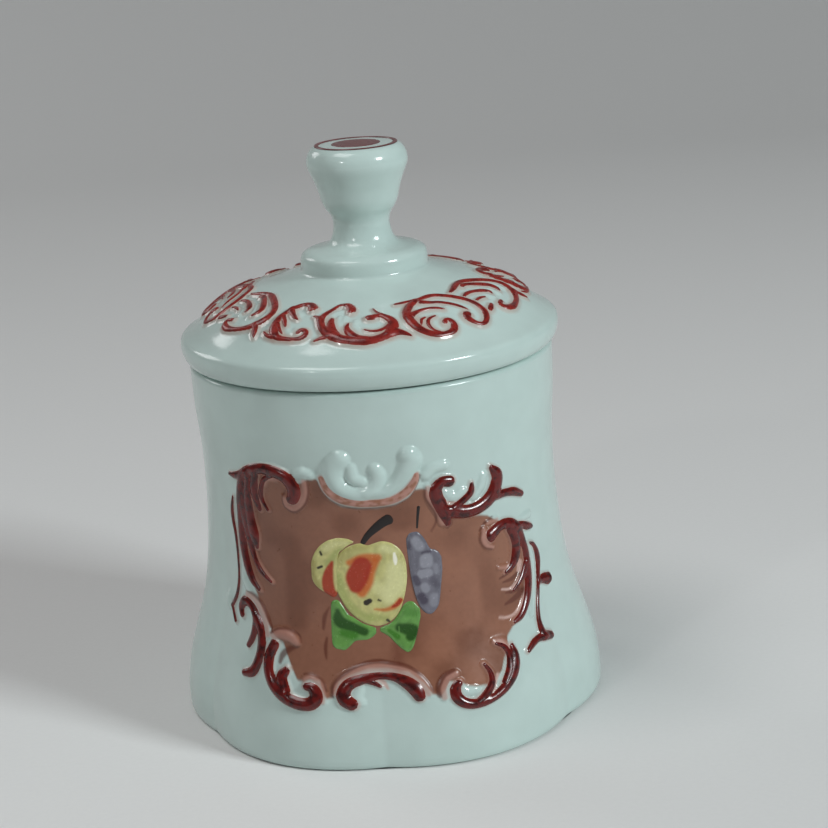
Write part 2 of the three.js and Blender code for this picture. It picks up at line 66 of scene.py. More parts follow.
class Tone(Enum):
    """Colours of the glass and of each enamel, as sRGB hex."""

    GLASS = "#c0d3ce"
    GROUND = "#85523b"
    GROUND_DEEP = "#633520"
    GROUND_ROSE = "#98664f"
    ROSE = "#b58578"
    ROSE_PALE = "#cfaca2"
    BEIGE = "#b99d90"
    # dark brown of pooled enamel, also painted as shade at the foot of ridges and in the front groove
    POOLED = "#5a2413"
    RED = "#64100c"
    RED_DEEP = "#3a0505"
    RED_RUST = "#96321c"
    LID_RED = "#8a2119"
    LID_RED_THIN = "#a04f42"
    KNOB_RED = "#6d2024"
    FRUIT = "#c0bb7a"
    FRUIT_LIGHT = "#dfdda2"
    FRUIT_OLIVE = "#9a8f4e"
    FRUIT_GREEN = "#93a158"
    BLUSH = "#a32200"
    BLUSH_ORANGE = "#c45a0e"
    LEAF_LIGHT = "#64964a"
    LEAF = "#357518"
    LEAF_DARK = "#1d4a0c"
    GRAPE = "#6c6a75"
    GRAPE_LIGHT = "#9898a2"
    GRAPE_DARK = "#3e3647"
    INK = "#120604"
    GLINT = "#fbf8e6"


def linear(code: str) -> Colour:
    """Turns an sRGB hex colour into linear light.

    Args:
        code: The colour as "#rrggbb".

    Returns:
        The three linear values.
    """
    parts = [int(code[i:i + 2], 16) / 255 for i in (1, 3, 5)]
    return tuple(c / 12.92 if c <= 0.04045 else ((c + 0.055) / 1.055) ** 2.4 for c in parts)


def tone(name: Tone) -> np.ndarray:
    """The linear colour of a tone, as an array."""
    return np.array(linear(name.value))


# ------------------------------------------------------------- lines and shapes

def through(rows: Line, step: float) -> np.ndarray:
    """Draws a smooth line through rows and samples it evenly.

    Args:
        rows: Points of two or more values; the first two are the position.
        step: Distance between samples in millimetres.

    Returns:
        One row per sample.
    """
    points = np.array(rows, float)
    ends = np.vstack([2 * points[0] - points[1], points, 2 * points[-1] - points[-2]])
    t = np.linspace(0, 1, 24, endpoint=False)[:, None]
    spans = []
    for a, b, c, d in zip(ends, ends[1:], ends[2:], ends[3:]):
        spans.append(0.5 * (2 * b + (c - a) * t + (2 * a - 5 * b + 4 * c - d) * t ** 2
                            + (3 * b - a - 3 * c + d) * t ** 3))
    dense = np.vstack([*spans, points[-1:]])
    run = np.concatenate([[0], np.cumsum(np.linalg.norm(np.diff(dense[:, :2], axis=0), axis=1))])
    even = np.linspace(0, run[-1], max(4, math.ceil(run[-1] / step)) + 1)
    return np.stack([np.interp(even, run, column) for column in dense.T], axis=1)


def step_between(low: float, high: float, value: np.ndarray) -> np.ndarray:
    """Rises smoothly from 0 at low to 1 at high."""
    t = np.clip((value - low) / (high - low), 0, 1)
    return t * t * (3 - 2 * t)


def edge_gap(u: np.ndarray, v: np.ndarray, line: np.ndarray) -> tuple[np.ndarray, np.ndarray]:
    """Measures points against a brush line of varying width.

    Args:
        u: First coordinate of the points.
        v: Second coordinate of the points.
        line: Samples of position and width.

    Returns:
        Distance to the line's edge, negative inside, and the half width there.
    """
    best = np.full(u.shape, 1e9)
    half = np.zeros(u.shape)
    for x, y, width in line[:, :3]:
        gap = np.hypot(u - x, v - y) - width / 2
        nearer = gap < best
        best = np.where(nearer, gap, best)
        half = np.where(nearer, width / 2, half)
    return best, half


def cloud(shape: tuple[int, int], cell: float, seed: int) -> np.ndarray:
    """Soft random blotches from 0 to 1.

    Args:
        shape: Rows and columns wanted.
        cell: Size of a blotch in samples.
        seed: Fixes the pattern.

    Returns:
        The blotches.
    """
    rng = np.random.default_rng(seed)
    rows, columns = (int(n / cell) + 3 for n in shape)
    coarse = rng.random((rows, columns))
    y = np.linspace(0, rows - 1.001, shape[0])
    x = np.linspace(0, columns - 1.001, shape[1])
    iy, ix = y.astype(int), x.astype(int)
    fy, fx = (y - iy)[:, None], (x - ix)[None, :]
    fy, fx = fy * fy * (3 - 2 * fy), fx * fx * (3 - 2 * fx)
    iy2, ix2 = np.minimum(iy + 1, rows - 1), np.minimum(ix + 1, columns - 1)
    low = coarse[iy][:, ix] * (1 - fx) + coarse[iy][:, ix2] * fx
    high = coarse[iy2][:, ix] * (1 - fx) + coarse[iy2][:, ix2] * fx
    return low * (1 - fy) + high * fy


@dataclass(frozen=True)
class WallShape:
    """The six-lobed outside of the jar."""

    neck_r: float = 41.1
    flare: float = 8.8
    height: float = 85.4
    groove: float = 2.3
    groove_top: float = 0.92
    lobes: int = 6
    turn: float = math.radians(-4)
    crease: float = 0.045
    shift: float = 0.7          # how far the drawing stands right of the front
    rise: float = 0.5           # how far it stands up
    scale_s: float = 0.976
    scale_z: float = 0.977
    widening: float = 0.0008    # gained in scale_s by each millimetre up
    side_rise: float = 0.0017   # times the square of s
    curve: Line = (
        (0, 1), (0.05, 1), (0.09, 0.97), (0.14, 0.89), (0.19, 0.765), (0.25, 0.58), (0.31, 0.4), (0.37, 0.26),
        (0.44, 0.15), (0.52, 0.07), (0.6, 0.02), (0.67, 0), (0.77, 0.015), (0.88, 0.09), (1, 0.115))

    def crest(self, z: np.ndarray) -> np.ndarray:
        """Radius over the lobes at a height."""
        line = through(tuple((share * 8, flare) for share, flare in self.curve), 0.05)
        return self.neck_r + self.flare * np.interp(np.asarray(z) / self.height * 8, line[:, 0], line[:, 1])

    def groove_at(self, theta: np.ndarray, z: np.ndarray) -> np.ndarray:
        """How far the grooves cut into the crest radius."""
        wave = np.sin(self.lobes / 2 * (theta - self.turn))
        across = (np.sqrt(wave ** 2 + self.crease ** 2) - self.crease) / (math.sqrt(1 + self.crease ** 2) - self.crease)
        depth = self.groove * np.clip(1 - np.asarray(z) / (self.groove_top * self.height), 0, None)
        return depth * (1 - across)

    def wrapped(self, s: np.ndarray, z: np.ndarray) -> tuple[np.ndarray, np.ndarray]:
        """Angle and height at which a point of the flat drawing falls on the wall.

        On the flared wall the drawing widens upwards and rises at its sides.

        Args:
            s: Distance across the drawing, from the front.
            z: Distance up the drawing.

        Returns:
            Angles from the front, and heights.
        """
        theta = (self.shift + s * (self.scale_s + self.widening * z)) / WRAP_R
        return theta, self.rise + self.scale_z * z + self.side_rise * s ** 2

    def unwrapped(self, theta: np.ndarray, height: np.ndarray) -> tuple[np.ndarray, np.ndarray]:
        """Point of the flat drawing that falls on an angle and height of the wall.

        Args:
            theta: Angles from the front.
            height: Heights.

        Returns:
            Distances across and up the drawing.
        """
        s, z = theta * WRAP_R, height
        for _ in range(5):
            z = (height - self.rise - self.side_rise * s ** 2) / self.scale_z
            s = (theta * WRAP_R - self.shift) / (self.scale_s + self.widening * z)
        return s, z

    def place(self, s: np.ndarray, z: np.ndarray, lift: np.ndarray) -> np.ndarray:
        """Turns points of the flat drawing into places in the scene.

        Args:
            s: Distance across the drawing, from the front.
            z: Distance up the drawing.
            lift: Distance off the wall.

        Returns:
            Places in metres, one row each.
        """
        theta, height = self.wrapped(s, z)
        r = self.crest(height) - self.groove_at(theta, height) + lift
        return np.stack([r * np.sin(theta), -r * np.cos(theta), height], axis=-1) * MM


@dataclass(frozen=True)
class DomeShape:
    """The outside of the lid between its rim and the collar."""

    band_r: float = 30.0
    rows: Line = (
        (43.6, 90.7), (43.25, 91.3), (42.5, 91.8), (41.4, 92.4), (40, 93.3), (38, 94.9), (36, 96.4), (34, 97.7),
        (32, 98.75), (30, 99.5), (27, 100.5), (24, 101.4), (20, 102.55), (16.5, 103.7), (14.6, 104.3))

    def slope_line(self) -> np.ndarray:
        """The dome's half section, sampled finely from the collar outwards."""
        return through(self.rows, 0.2)[::-1]

    def place(self, a: np.ndarray, r: np.ndarray, lift: np.ndarray) -> np.ndarray:
        """Turns lid points into places in the scene.

        Args:
            a: Distance round the lid at band_r.
            r: Radius.
            lift: Distance off the dome, square to it.

        Returns:
            Places in metres, one row each.
        """
        line = self.slope_line()
        z = np.interp(r, line[:, 0], line[:, 1])
        fall = np.gradient(line[:, 1], line[:, 0])
        slope = np.interp(r, line[:, 0], fall)
        size = np.sqrt(1 + slope ** 2)
        radius = r - lift * slope / size
        theta = a / self.band_r
        return np.stack([radius * np.sin(theta), -radius * np.cos(theta), z + lift / size], axis=-1) * MM


class ReliefMap:
    """Height and colour of a moulded and painted surface, kept on a fine grid."""

    def __init__(self, low: Row, high: Row, step: float, bare: Tone) -> None:
        """Starts as bare, smooth glass.

        Args:
            low: Lowest u and v.
            high: Highest u and v.
            step: Grid spacing in millimetres.
            bare: Colour where nothing is painted.
        """
        self.step = step
        self.low = low
        self.u = np.arange(low[0], high[0] + step, step)
        self.v = np.arange(low[1], high[1] + step, step)
        self.height = np.zeros((len(self.v), len(self.u)))
        self.colour = np.tile(tone(bare), (len(self.v), len(self.u), 1))

    def window(self, line: np.ndarray, reach: float) -> tuple[slice, slice, np.ndarray, np.ndarray]:
        """The part of the grid that a line can touch.

        Args:
            line: Samples of position and width.
            reach: Distance past the line's edge.

        Returns:
            Row and column slices, and the u and v of every point there.
        """
        pad = reach + line[:, 2].max() / 2
        spans = []
        for axis, size in ((1, len(self.v)), (0, len(self.u))):
            first = int((line[:, axis].min() - pad - self.low[axis]) / self.step)
            last = int((line[:, axis].max() + pad - self.low[axis]) / self.step) + 2
            spans.append(slice(max(0, first), max(0, min(size, last))))
        u, v = np.meshgrid(self.u[spans[1]], self.v[spans[0]])
        return spans[0], spans[1], u, v

    def swell(self, line: np.ndarray, rise: float, spread: float = 0.45) -> None:
        """Raises a rounded ridge under a line.

        Args:
            line: Samples of position and width.
            rise: Height of a ridge 2.4 mm wide.
            spread: How far the ridge runs past the painted edge.
        """
        rows, columns, u, v = self.window(line, spread + 0.3)
        if not u.size:
            return
        gap, half = edge_gap(u, v, line)
        share = np.clip((gap + half) / (half + spread), 0, 1)
        high = rise * np.clip(0.35 + 0.27 * 2 * half, 0, 1.1) * (1 - share ** 2) ** 0.85
        held = self.height[rows, columns]
        self.height[rows, columns] = (held ** 3 + high ** 3) ** (1 / 3)

    def tint(self, line: np.ndarray, colour: Tone, strength: float, soft: float, reach: float = 0.0) -> None:
        """Lays colour along a line.

        Args:
            line: Samples of position and width.
            colour: Colour laid.
            strength: Cover from 0 to 1.
            soft: Width of the fading edge.
            reach: How far past the edge the full cover goes.
        """
        rows, columns, u, v = self.window(line, soft + reach)
        if not u.size:
            return
        gap, _ = edge_gap(u, v, line)
        cover = strength * (1 - step_between(reach - soft / 2, reach + soft / 2, gap))[..., None]
        self.colour[rows, columns] = self.colour[rows, columns] * (1 - cover) + tone(colour) * cover

    def wash(self, edges: Line, colour: Tone, strength: float, soft: float) -> np.ndarray:
        """Covers the area between a low and a high edge.

        Args:
            edges: Rows of u, low v and high v.
            colour: Colour laid.
            strength: Cover from 0 to 1.
            soft: Width of the fading edge.

        Returns:
            The cover laid at each grid point.
        """
        rows = np.array(edges, float)
        low = np.interp(self.u, rows[:, 0], rows[:, 1])
        high = np.interp(self.u, rows[:, 0], rows[:, 2])
        ends = np.minimum(self.u - rows[0, 0], rows[-1, 0] - self.u)
        inside = np.minimum(np.minimum(self.v[:, None] - low, high - self.v[:, None]), ends)
        cover = strength * step_between(-soft / 2, soft / 2, inside)
        self.colour = self.colour * (1 - cover[..., None]) + tone(colour) * cover[..., None]
        return cover

    def blend(self, colour: Tone, cover: np.ndarray) -> None:
        """Lays colour by a cover given for every grid point."""
        self.colour = self.colour * (1 - cover[..., None]) + tone(colour) * cover[..., None]

    def read(self, u: np.ndarray, v: np.ndarray) -> tuple[np.ndarray, np.ndarray]:
        """Height and colour at any points, straight between grid points.

        Args:
            u: First coordinate.
            v: Second coordinate.

        Returns:
            Heights and linear colours.
        """
        x = np.clip((u - self.low[0]) / self.step, 0, len(self.u) - 1.001)
        y = np.clip((v - self.low[1]) / self.step, 0, len(self.v) - 1.001)
        ix, iy = x.astype(int), y.astype(int)
        fx, fy = x - ix, y - iy
        found = []
        for field_ in (self.height[..., None], self.colour):
            low = field_[iy, ix] * (1 - fx)[..., None] + field_[iy, ix + 1] * fx[..., None]
            high = field_[iy + 1, ix] * (1 - fx)[..., None] + field_[iy + 1, ix + 1] * fx[..., None]
            found.append(low * (1 - fy)[..., None] + high * fy[..., None])
        return found[0][..., 0], found[1]


# --------------------------------------------------------------- mesh by hand

def deselect_all() -> None:
    """Leaves edit mode and selects nothing, so that an operator acts on new work only."""
    if bpy.context.object and bpy.context.object.mode != "OBJECT":
        bpy.ops.object.mode_set(mode="OBJECT")
    bpy.ops.object.select_all(action="DESELECT")


def select_only(piece: bpy.types.Object) -> None:
    """Makes one piece the selected and active one."""
    deselect_all()
    piece.select_set(True)
    bpy.context.view_layer.objects.active = piece


def places_of(piece: bpy.types.Object) -> np.ndarray:
    """The piece's vertices, one row each."""
    flat = np.zeros(len(piece.data.vertices) * 3)
    piece.data.vertices.foreach_get("co", flat)
    return flat.reshape(-1, 3)


def move_to(piece: bpy.types.Object, places: np.ndarray) -> None:
    """Puts the piece's vertices at new places, in metres."""
    piece.data.vertices.foreach_set("co", places.astype(float).ravel())
    piece.data.update()


def paint(piece: bpy.types.Object, colours: np.ndarray) -> None:
    """Stores a linear colour at every vertex, for the enamel materials to read."""
    layer = piece.data.color_attributes.get("paint") or piece.data.color_attributes.new(
        name="paint", type="FLOAT_COLOR", domain="POINT")
    full = np.concatenate([colours, np.ones((len(colours), 1))], axis=1)
    layer.data.foreach_set("color", full.astype(float).ravel())


def new_grid(name: str, along: int, across: int) -> bpy.types.Object:
    """Adds a flat grid from -1 to 1 both ways.

    Args:
        name: Name of the piece.
        along: Faces along x.
        across: Faces along y.

    Returns:
        The grid.
    """
    deselect_all()
    bpy.ops.mesh.primitive_grid_add(x_subdivisions=along, y_subdivisions=across, size=2, location=(0, 0, 0))
    piece = bpy.context.object
    piece.name = name
    piece.data.name = name
    return piece


def give_thickness(piece: bpy.types.Object, thick: float) -> None:
    """Closes an open skin by giving it a thickness inwards, and applies it."""
    select_only(piece)
    wall = piece.modifiers.new("thickness", "SOLIDIFY")
    wall.thickness = thick * MM
    wall.offset = -1
    bpy.ops.object.modifier_apply(modifier=wall.name)


def shade_smooth(piece: bpy.types.Object, sharpest: float = 50) -> None:
    """Smooth shading, with edges sharper than an angle in degrees kept crisp."""
    select_only(piece)
    bpy.ops.object.shade_smooth_by_angle(angle=math.radians(sharpest))


def join_pieces(name: str, parts: list[bpy.types.Object]) -> bpy.types.Object:
    """Joins parts into one piece.

    Args:
        name: Name of the piece.
        parts: What it is made of.

    Returns:
        The joined piece.
    """
    deselect_all()
    for part in parts:
        part.select_set(True)
    bpy.context.view_layer.objects.active = parts[0]
    if len(parts) > 1:
        bpy.ops.object.join()
    piece = bpy.context.object
    piece.name = name
    piece.data.name = name
    return piece


def spun(name: str, section: np.ndarray, start: float, steps: int) -> bpy.types.Object:
    """Turns a half section into a closed body, as on a lathe.

    Args:
        name: Name of the piece.
        section: Rows of radius and height in millimetres, from axis to axis.
        start: Angle at which the section is drawn, from the front.
        steps: Corners round the body.

    Returns:
        The body, its normals facing out.
    """
    deselect_all()
    bpy.ops.mesh.primitive_plane_add(size=0.001, location=(0, 0, 0))
    piece = bpy.context.object
    piece.name = name
    piece.data.name = name
    out = Vector((math.sin(start), -math.cos(start), 0))
    corners = [(out * r + Vector((0, 0, z))) * MM for r, z in section]
    bpy.ops.object.mode_set(mode="EDIT")
    bpy.ops.mesh.select_mode(type="VERT")
    bpy.ops.mesh.select_all(action="SELECT")
    bpy.ops.mesh.merge(type="CENTER")
    bpy.ops.transform.translate(value=corners[0])
    for before, after in zip(corners, corners[1:]):
        bpy.ops.mesh.extrude_region_move(TRANSFORM_OT_translate={"value": after - before})
    bpy.ops.mesh.select_all(action="SELECT")
    bpy.ops.mesh.spin(steps=steps, angle=2 * math.pi, center=(0, 0, 0), axis=(0, 0, 1))
    bpy.ops.mesh.select_all(action="SELECT")
    bpy.ops.mesh.remove_doubles(threshold=0.004 * MM)
    bpy.ops.mesh.normals_make_consistent(inside=False)
    bpy.ops.object.mode_set(mode="OBJECT")
    return piece


# ------------------------------------------------------------------- finishes

def add_node(tree: bpy.types.NodeTree, kind: str, settings: dict | None = None,
             links: dict | None = None) -> bpy.types.Node:
    """Adds a shader node with its settings and incoming links.

    Args:
        tree: Node tree of the material.
        kind: Node type.
        settings: Values by input or property name.
        links: Output sockets by input name.

    Returns:
        The node.
    """
    node = tree.nodes.new(kind)
    for key, value in (settings or {}).items():
        if key in node.inputs:
            node.inputs[key].default_value = value
        else:
            setattr(node, key, value)
    for key, source in (links or {}).items():
        tree.links.new(source, node.inputs[key])
    return node


def grain(tree: bpy.types.NodeTree, size: float, detail: float = 3.0) -> bpy.types.Node:
    """Noise on Object coordinates whose blotches are size millimetres wide."""
    coordinates = add_node(tree, "ShaderNodeTexCoord")
    return add_node(tree, "ShaderNodeTexNoise", {"Scale": 1 / (size * MM), "Detail": detail},
                    {"Vector": coordinates.outputs["Object"]})


def melted_glass(name: str, ior: float, clouding: float, polish: tuple[float, float],
                 patterns: tuple[Row, ...]) -> bpy.types.Material:
    """Makes a glassy material that reads its colour from the vertex colour "paint".

    Args:
        name: Name of the material.
        ior: Its index of refraction.
        clouding: Share by which the first pattern lightens and darkens the colour.
        polish: Lowest and highest roughness, as the last pattern sets it.
        patterns: Size in millimetres, detail and depth in millimetres of each pattern, the coarsest first.

    Returns:
        The material.
    """
    made = bpy.data.materials.new(name)
    made.use_nodes = True
    tree = made.node_tree
    shader = tree.nodes["Principled BSDF"]
    painted = add_node(tree, "ShaderNodeAttribute", {"attribute_name": "paint"})
    grains = [grain(tree, size, detail) for size, detail, _ in patterns]
    shade = add_node(tree, "ShaderNodeMapRange", {"To Min": 1 - clouding, "To Max": 1 + clouding},
                     {"Value": grains[0].outputs["Fac"]})
    colour = add_node(tree, "ShaderNodeVectorMath", {"operation": "SCALE"},
                      {"Vector": painted.outputs["Color"], "Scale": shade.outputs["Result"]})
    gloss = add_node(tree, "ShaderNodeMapRange", {"To Min": polish[0], "To Max": polish[1]},
                     {"Value": grains[-1].outputs["Fac"]})
    under = {}
    for noise, (_, _, depth) in zip(grains, patterns):
        bump = add_node(tree, "ShaderNodeBump", {"Strength": 1.0, "Distance": depth * MM},
                        {"Height": noise.outputs["Fac"], **under})
        under = {"Normal": bump.outputs["Normal"]}
    shader.inputs["IOR"].default_value = ior
    tree.links.new(colour.outputs["Vector"], shader.inputs["Base Color"])
    tree.links.new(gloss.outputs["Result"], shader.inputs["Roughness"])
    tree.links.new(under["Normal"], shader.inputs["Normal"])
    return made


@dataclass(frozen=True)
class GlassFinish:
    """Opal soda glass, pressed in an iron mould and fire polished.

    White all through and glossy; the flame leaves a slow waviness and the mould a faint grit.
    """

    name: str = "pressed_opal_glass"
    roughness: float = 0.13
    ior: float = 1.51
    wave: float = 7.0
    wave_depth: float = 0.05
    grit: float = 0.7
    grit_depth: float = 0.012
    detail: float = 2.0
    clouding: float = 0.06

    def build(self) -> bpy.types.Material:
        """Makes the glass, smoother and duller by spots of grit."""
        return melted_glass(self.name, self.ior, self.clouding, (self.roughness * 0.7, self.roughness * 1.5),
                            ((self.wave, self.detail, self.wave_depth), (self.grit, self.detail, self.grit_depth)))


@dataclass(frozen=True)
class EnamelFinish:
    """Ground coloured glass in oil, brushed on and fired until it melts.

    Deep and glossy where it lies thick, paler and duller where the brush left it thin.
    """

    name: str
    roughness: float = 0.24
    mottle_size: float = 0.9
    mottle: float = 0.22
    brush_depth: float = 0.02
    detail: float = 3.0
    ior: float = 1.54

    def build(self) -> bpy.types.Material:
        """Makes the enamel, its colour, gloss and brush marks on one mottle."""
        return melted_glass(self.name, self.ior, self.mottle, (self.roughness * 0.75, self.roughness * 1.35),
                            ((self.mottle_size, self.detail, self.brush_depth),))


def finish_piece(piece: bpy.types.Object, material: bpy.types.Material, body: str,
                 nodes: tuple[str, ...]) -> bpy.types.Object:
    """Gives a piece its material, its body and the CAD nodes it stands for.

    Args:
        piece: The piece, in place.
        material: Its finish.
        body: Body it moves with.
        nodes: CAD nodes it replaces.

    Returns:
        The piece.
    """
    piece.data.materials.clear()
    piece.data.materials.append(material)
    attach(piece, body)
    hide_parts(*nodes)
    log.info("%s on %s: %d faces", piece.name, body, len(piece.data.polygons))
    return piece


# ------------------------------------------------------- brush strokes and dabs

@dataclass
class Surface:
    """A glass surface and what is moulded and painted on it."""

    shape: WallShape | DomeShape
    relief: ReliefMap
    facing: int = 1

    def lay(self, piece: bpy.types.Object, u: np.ndarray, v: np.ndarray, lift: np.ndarray) -> None:
        """Bends a flat piece onto the surface, its top facing out.

        Args:
            piece: The piece.
            u: First surface coordinate of each vertex.
            v: Second surface coordinate.
            lift: Distance off the moulded surface.
        """
        height, _ = self.relief.read(u, v)
        move_to(piece, self.shape.place(u, v, height + lift))
        if self.facing < 0:
            select_only(piece)
            bpy.ops.object.mode_set(mode="EDIT")
            bpy.ops.mesh.select_all(action="SELECT")
            bpy.ops.mesh.flip_normals()
            bpy.ops.object.mode_set(mode="OBJECT")


@dataclass(frozen=True)
class Brush:
    """A loaded brush: what enamel it carries and how thick it lays it."""

    body: Tone
    deep: Tone
    thin: Tone
    thick: float = 0.17
    tuck: float = -0.05
    across: int = 10
    step: float = 0.3
    spread: float = 1.0
    overrun: float = 0.42       # how far a tip runs past its end, in widths
    least_overrun: float = 0.3
    body_thick: float = 0.16

    def rounded(self, rows: Line) -> tuple[np.ndarray, np.ndarray]:
        """Runs a line half a width past its ends and narrows it there to a round tip.

        Args:
            rows: Position and width along the stroke.

        Returns:
            Samples of the line, and the share of its width that each keeps.
        """
        line = through(rows, self.step)
        reach = [max(self.least_overrun, line[end, 2] * self.overrun) for end in (0, -1)]
        head = line[0, :2] + (line[0, :2] - line[1, :2]) / self.step * reach[0]
        tail = line[-1, :2] + (line[-1, :2] - line[-2, :2]) / self.step * reach[1]
        full = through(((*head, line[0, 2]), *map(tuple, line[::3]), tuple(line[-1]), (*tail, line[-1, 2])), self.step)
        run = np.concatenate([[0], np.cumsum(np.linalg.norm(np.diff(full[:, :2], axis=0), axis=1))])
        kept = np.ones(len(full))
        for distance, half in ((run, full[0, 2] / 2), (run[-1] - run, full[-1, 2] / 2)):
            inside = np.clip(distance / max(half, 0.15), 0, 1)
            kept *= np.sqrt(np.clip(1 - (1 - inside) ** 2, 0.0025, 1))
        return full, kept

    def strip(self, name: str, surface: Surface, rows: Line, seed: int) -> bpy.types.Object:
        """Lays one stroke on a surface.

        Args:
            name: Name of the piece.
            surface: Where it is laid.
            rows: Position and width along the stroke.
            seed: Fixes its streaks.

        Returns:
            The stroke, a closed thin body.
        """
        line, kept = self.rounded(rows)
        along = len(line) - 1
        piece = new_grid(name, along, self.across)
        flat = places_of(piece)
        t, side = (flat[:, 0] + 1) / 2 * along, flat[:, 1]
        index = np.arange(along + 1)
        u, v, width, keep = (np.interp(t, index, column) for column in (*line.T[:3], kept))
        du, dv = (np.interp(t, index, np.gradient(column)) for column in line.T[:2])
        length = np.hypot(du, dv) + 1e-9
        half = width * self.spread * keep / 2
        u, v = u - dv / length * side * half, v + du / length * side * half
        crown = (1 - np.abs(side) ** 2.6) * keep ** 0.7
        surface.lay(piece, u, v, self.tuck + (self.thick - self.tuck) * crown)
        paint(piece, self.streaks(t, side, keep, along, seed))
        give_thickness(piece, self.body_thick)
        return piece

    def streaks(self, t: np.ndarray, side: np.ndarray, keep: np.ndarray, along: int, seed: int) -> np.ndarray:
        """Colours that run along the stroke, thin at its edges and tips.

        Args:
            t: Sample number along the stroke.
            side: Place across it, -1 to 1.
            keep: Share of the width kept at the tips.
            along: Number of samples.
            seed: Fixes the pattern.

        Returns:
            A linear colour for each vertex.
        """
        bands = cloud((along + 1, self.across + 1), 3.2, seed)
        column = np.clip(((side + 1) / 2 * self.across).round().astype(int), 0, self.across)
        row = np.clip(t.round().astype(int), 0, along)
        deep = step_between(0.35, 0.85, bands[row, column])[:, None]
        bare = np.clip(step_between(0.6, 1.05, np.abs(side)) + 0.5 * (1 - keep), 0, 1)[:, None] * 0.6
        colour = tone(self.body) * (1 - deep) + tone(self.deep) * deep
        return colour * (1 - bare) + tone(self.thin) * bare


@dataclass(frozen=True)
class Dab:
    """One touch of colour inside a painted shape."""

    rows: Line
    colour: Tone
    cover: float = 1.0
    soft: float = 0.4

    def over(self, colours: np.ndarray, u: np.ndarray, v: np.ndarray) -> np.ndarray:
        """Lays the dab over colours already there."""
        line = through(self.rows, SAMPLE)
        gap, _ = edge_gap(u, v, line)
        cover = self.cover * (1 - step_between(-self.soft / 2, self.soft / 2, gap))[:, None]
        return colours * (1 - cover) + tone(self.colour) * cover


@dataclass(frozen=True)
class PaintedShape:
    """A filled shape of enamel: its edges, its body colour and the dabs on it."""

    node: str
    slot: str
    edges: Line
    base: Tone
    dabs: tuple[Dab, ...] = ()
    thick: float = 0.28
    swell: float = 2.4
    grain: int = 5
    tuck: float = 0.05          # how far the edge sinks into the glass
    edge: float = 0.8           # over which it rises
    mottle: float = 0.14
    body_thick: float = 0.14

    def build(self, surface: Surface, seed: int) -> bpy.types.Object:
        """Lays the shape on a surface.

        Args:
            surface: Where it is laid.
            seed: Fixes its mottling.

        Returns:
            The shape, a closed thin body.
        """
        columns = through(self.edges, FINE_SAMPLE)
        count = len(columns) - 1
        rows = max(24, int(4.5 * (columns[:, 2] - columns[:, 1]).max()))
        piece = new_grid(self.node + "_paint", count, rows)
        flat = places_of(piece)
        t, side = (flat[:, 0] + 1) / 2 * count, flat[:, 1]
        u, low, high = (np.interp(t, np.arange(count + 1), column) for column in columns.T)
        v = low + (high - low) * (side + 1) / 2
        ends = np.minimum(u - u.min(), u.max() - u)
        rim = np.minimum(np.minimum(v - low, high - v), ends) / self.edge
        crown = np.clip(rim, 0, 1) ** (1 / self.swell)
        surface.lay(piece, u, v, -self.tuck + (self.thick + self.tuck) * crown)
        colours = np.tile(tone(self.base), (len(u), 1))
        blot = cloud((rows + 1, count + 1), self.grain, seed)
        shade = blot[np.clip(((side + 1) / 2 * rows).round().astype(int), 0, rows),
                     np.clip(t.round().astype(int), 0, count)]
        colours = colours * (1 - self.mottle + 2 * self.mottle * shade)[:, None]
        for dab in self.dabs:
            colours = dab.over(colours, u, v)
        paint(piece, colours)
        give_thickness(piece, self.body_thick)
        return piece


# ------------------------------------------------------- what is painted where

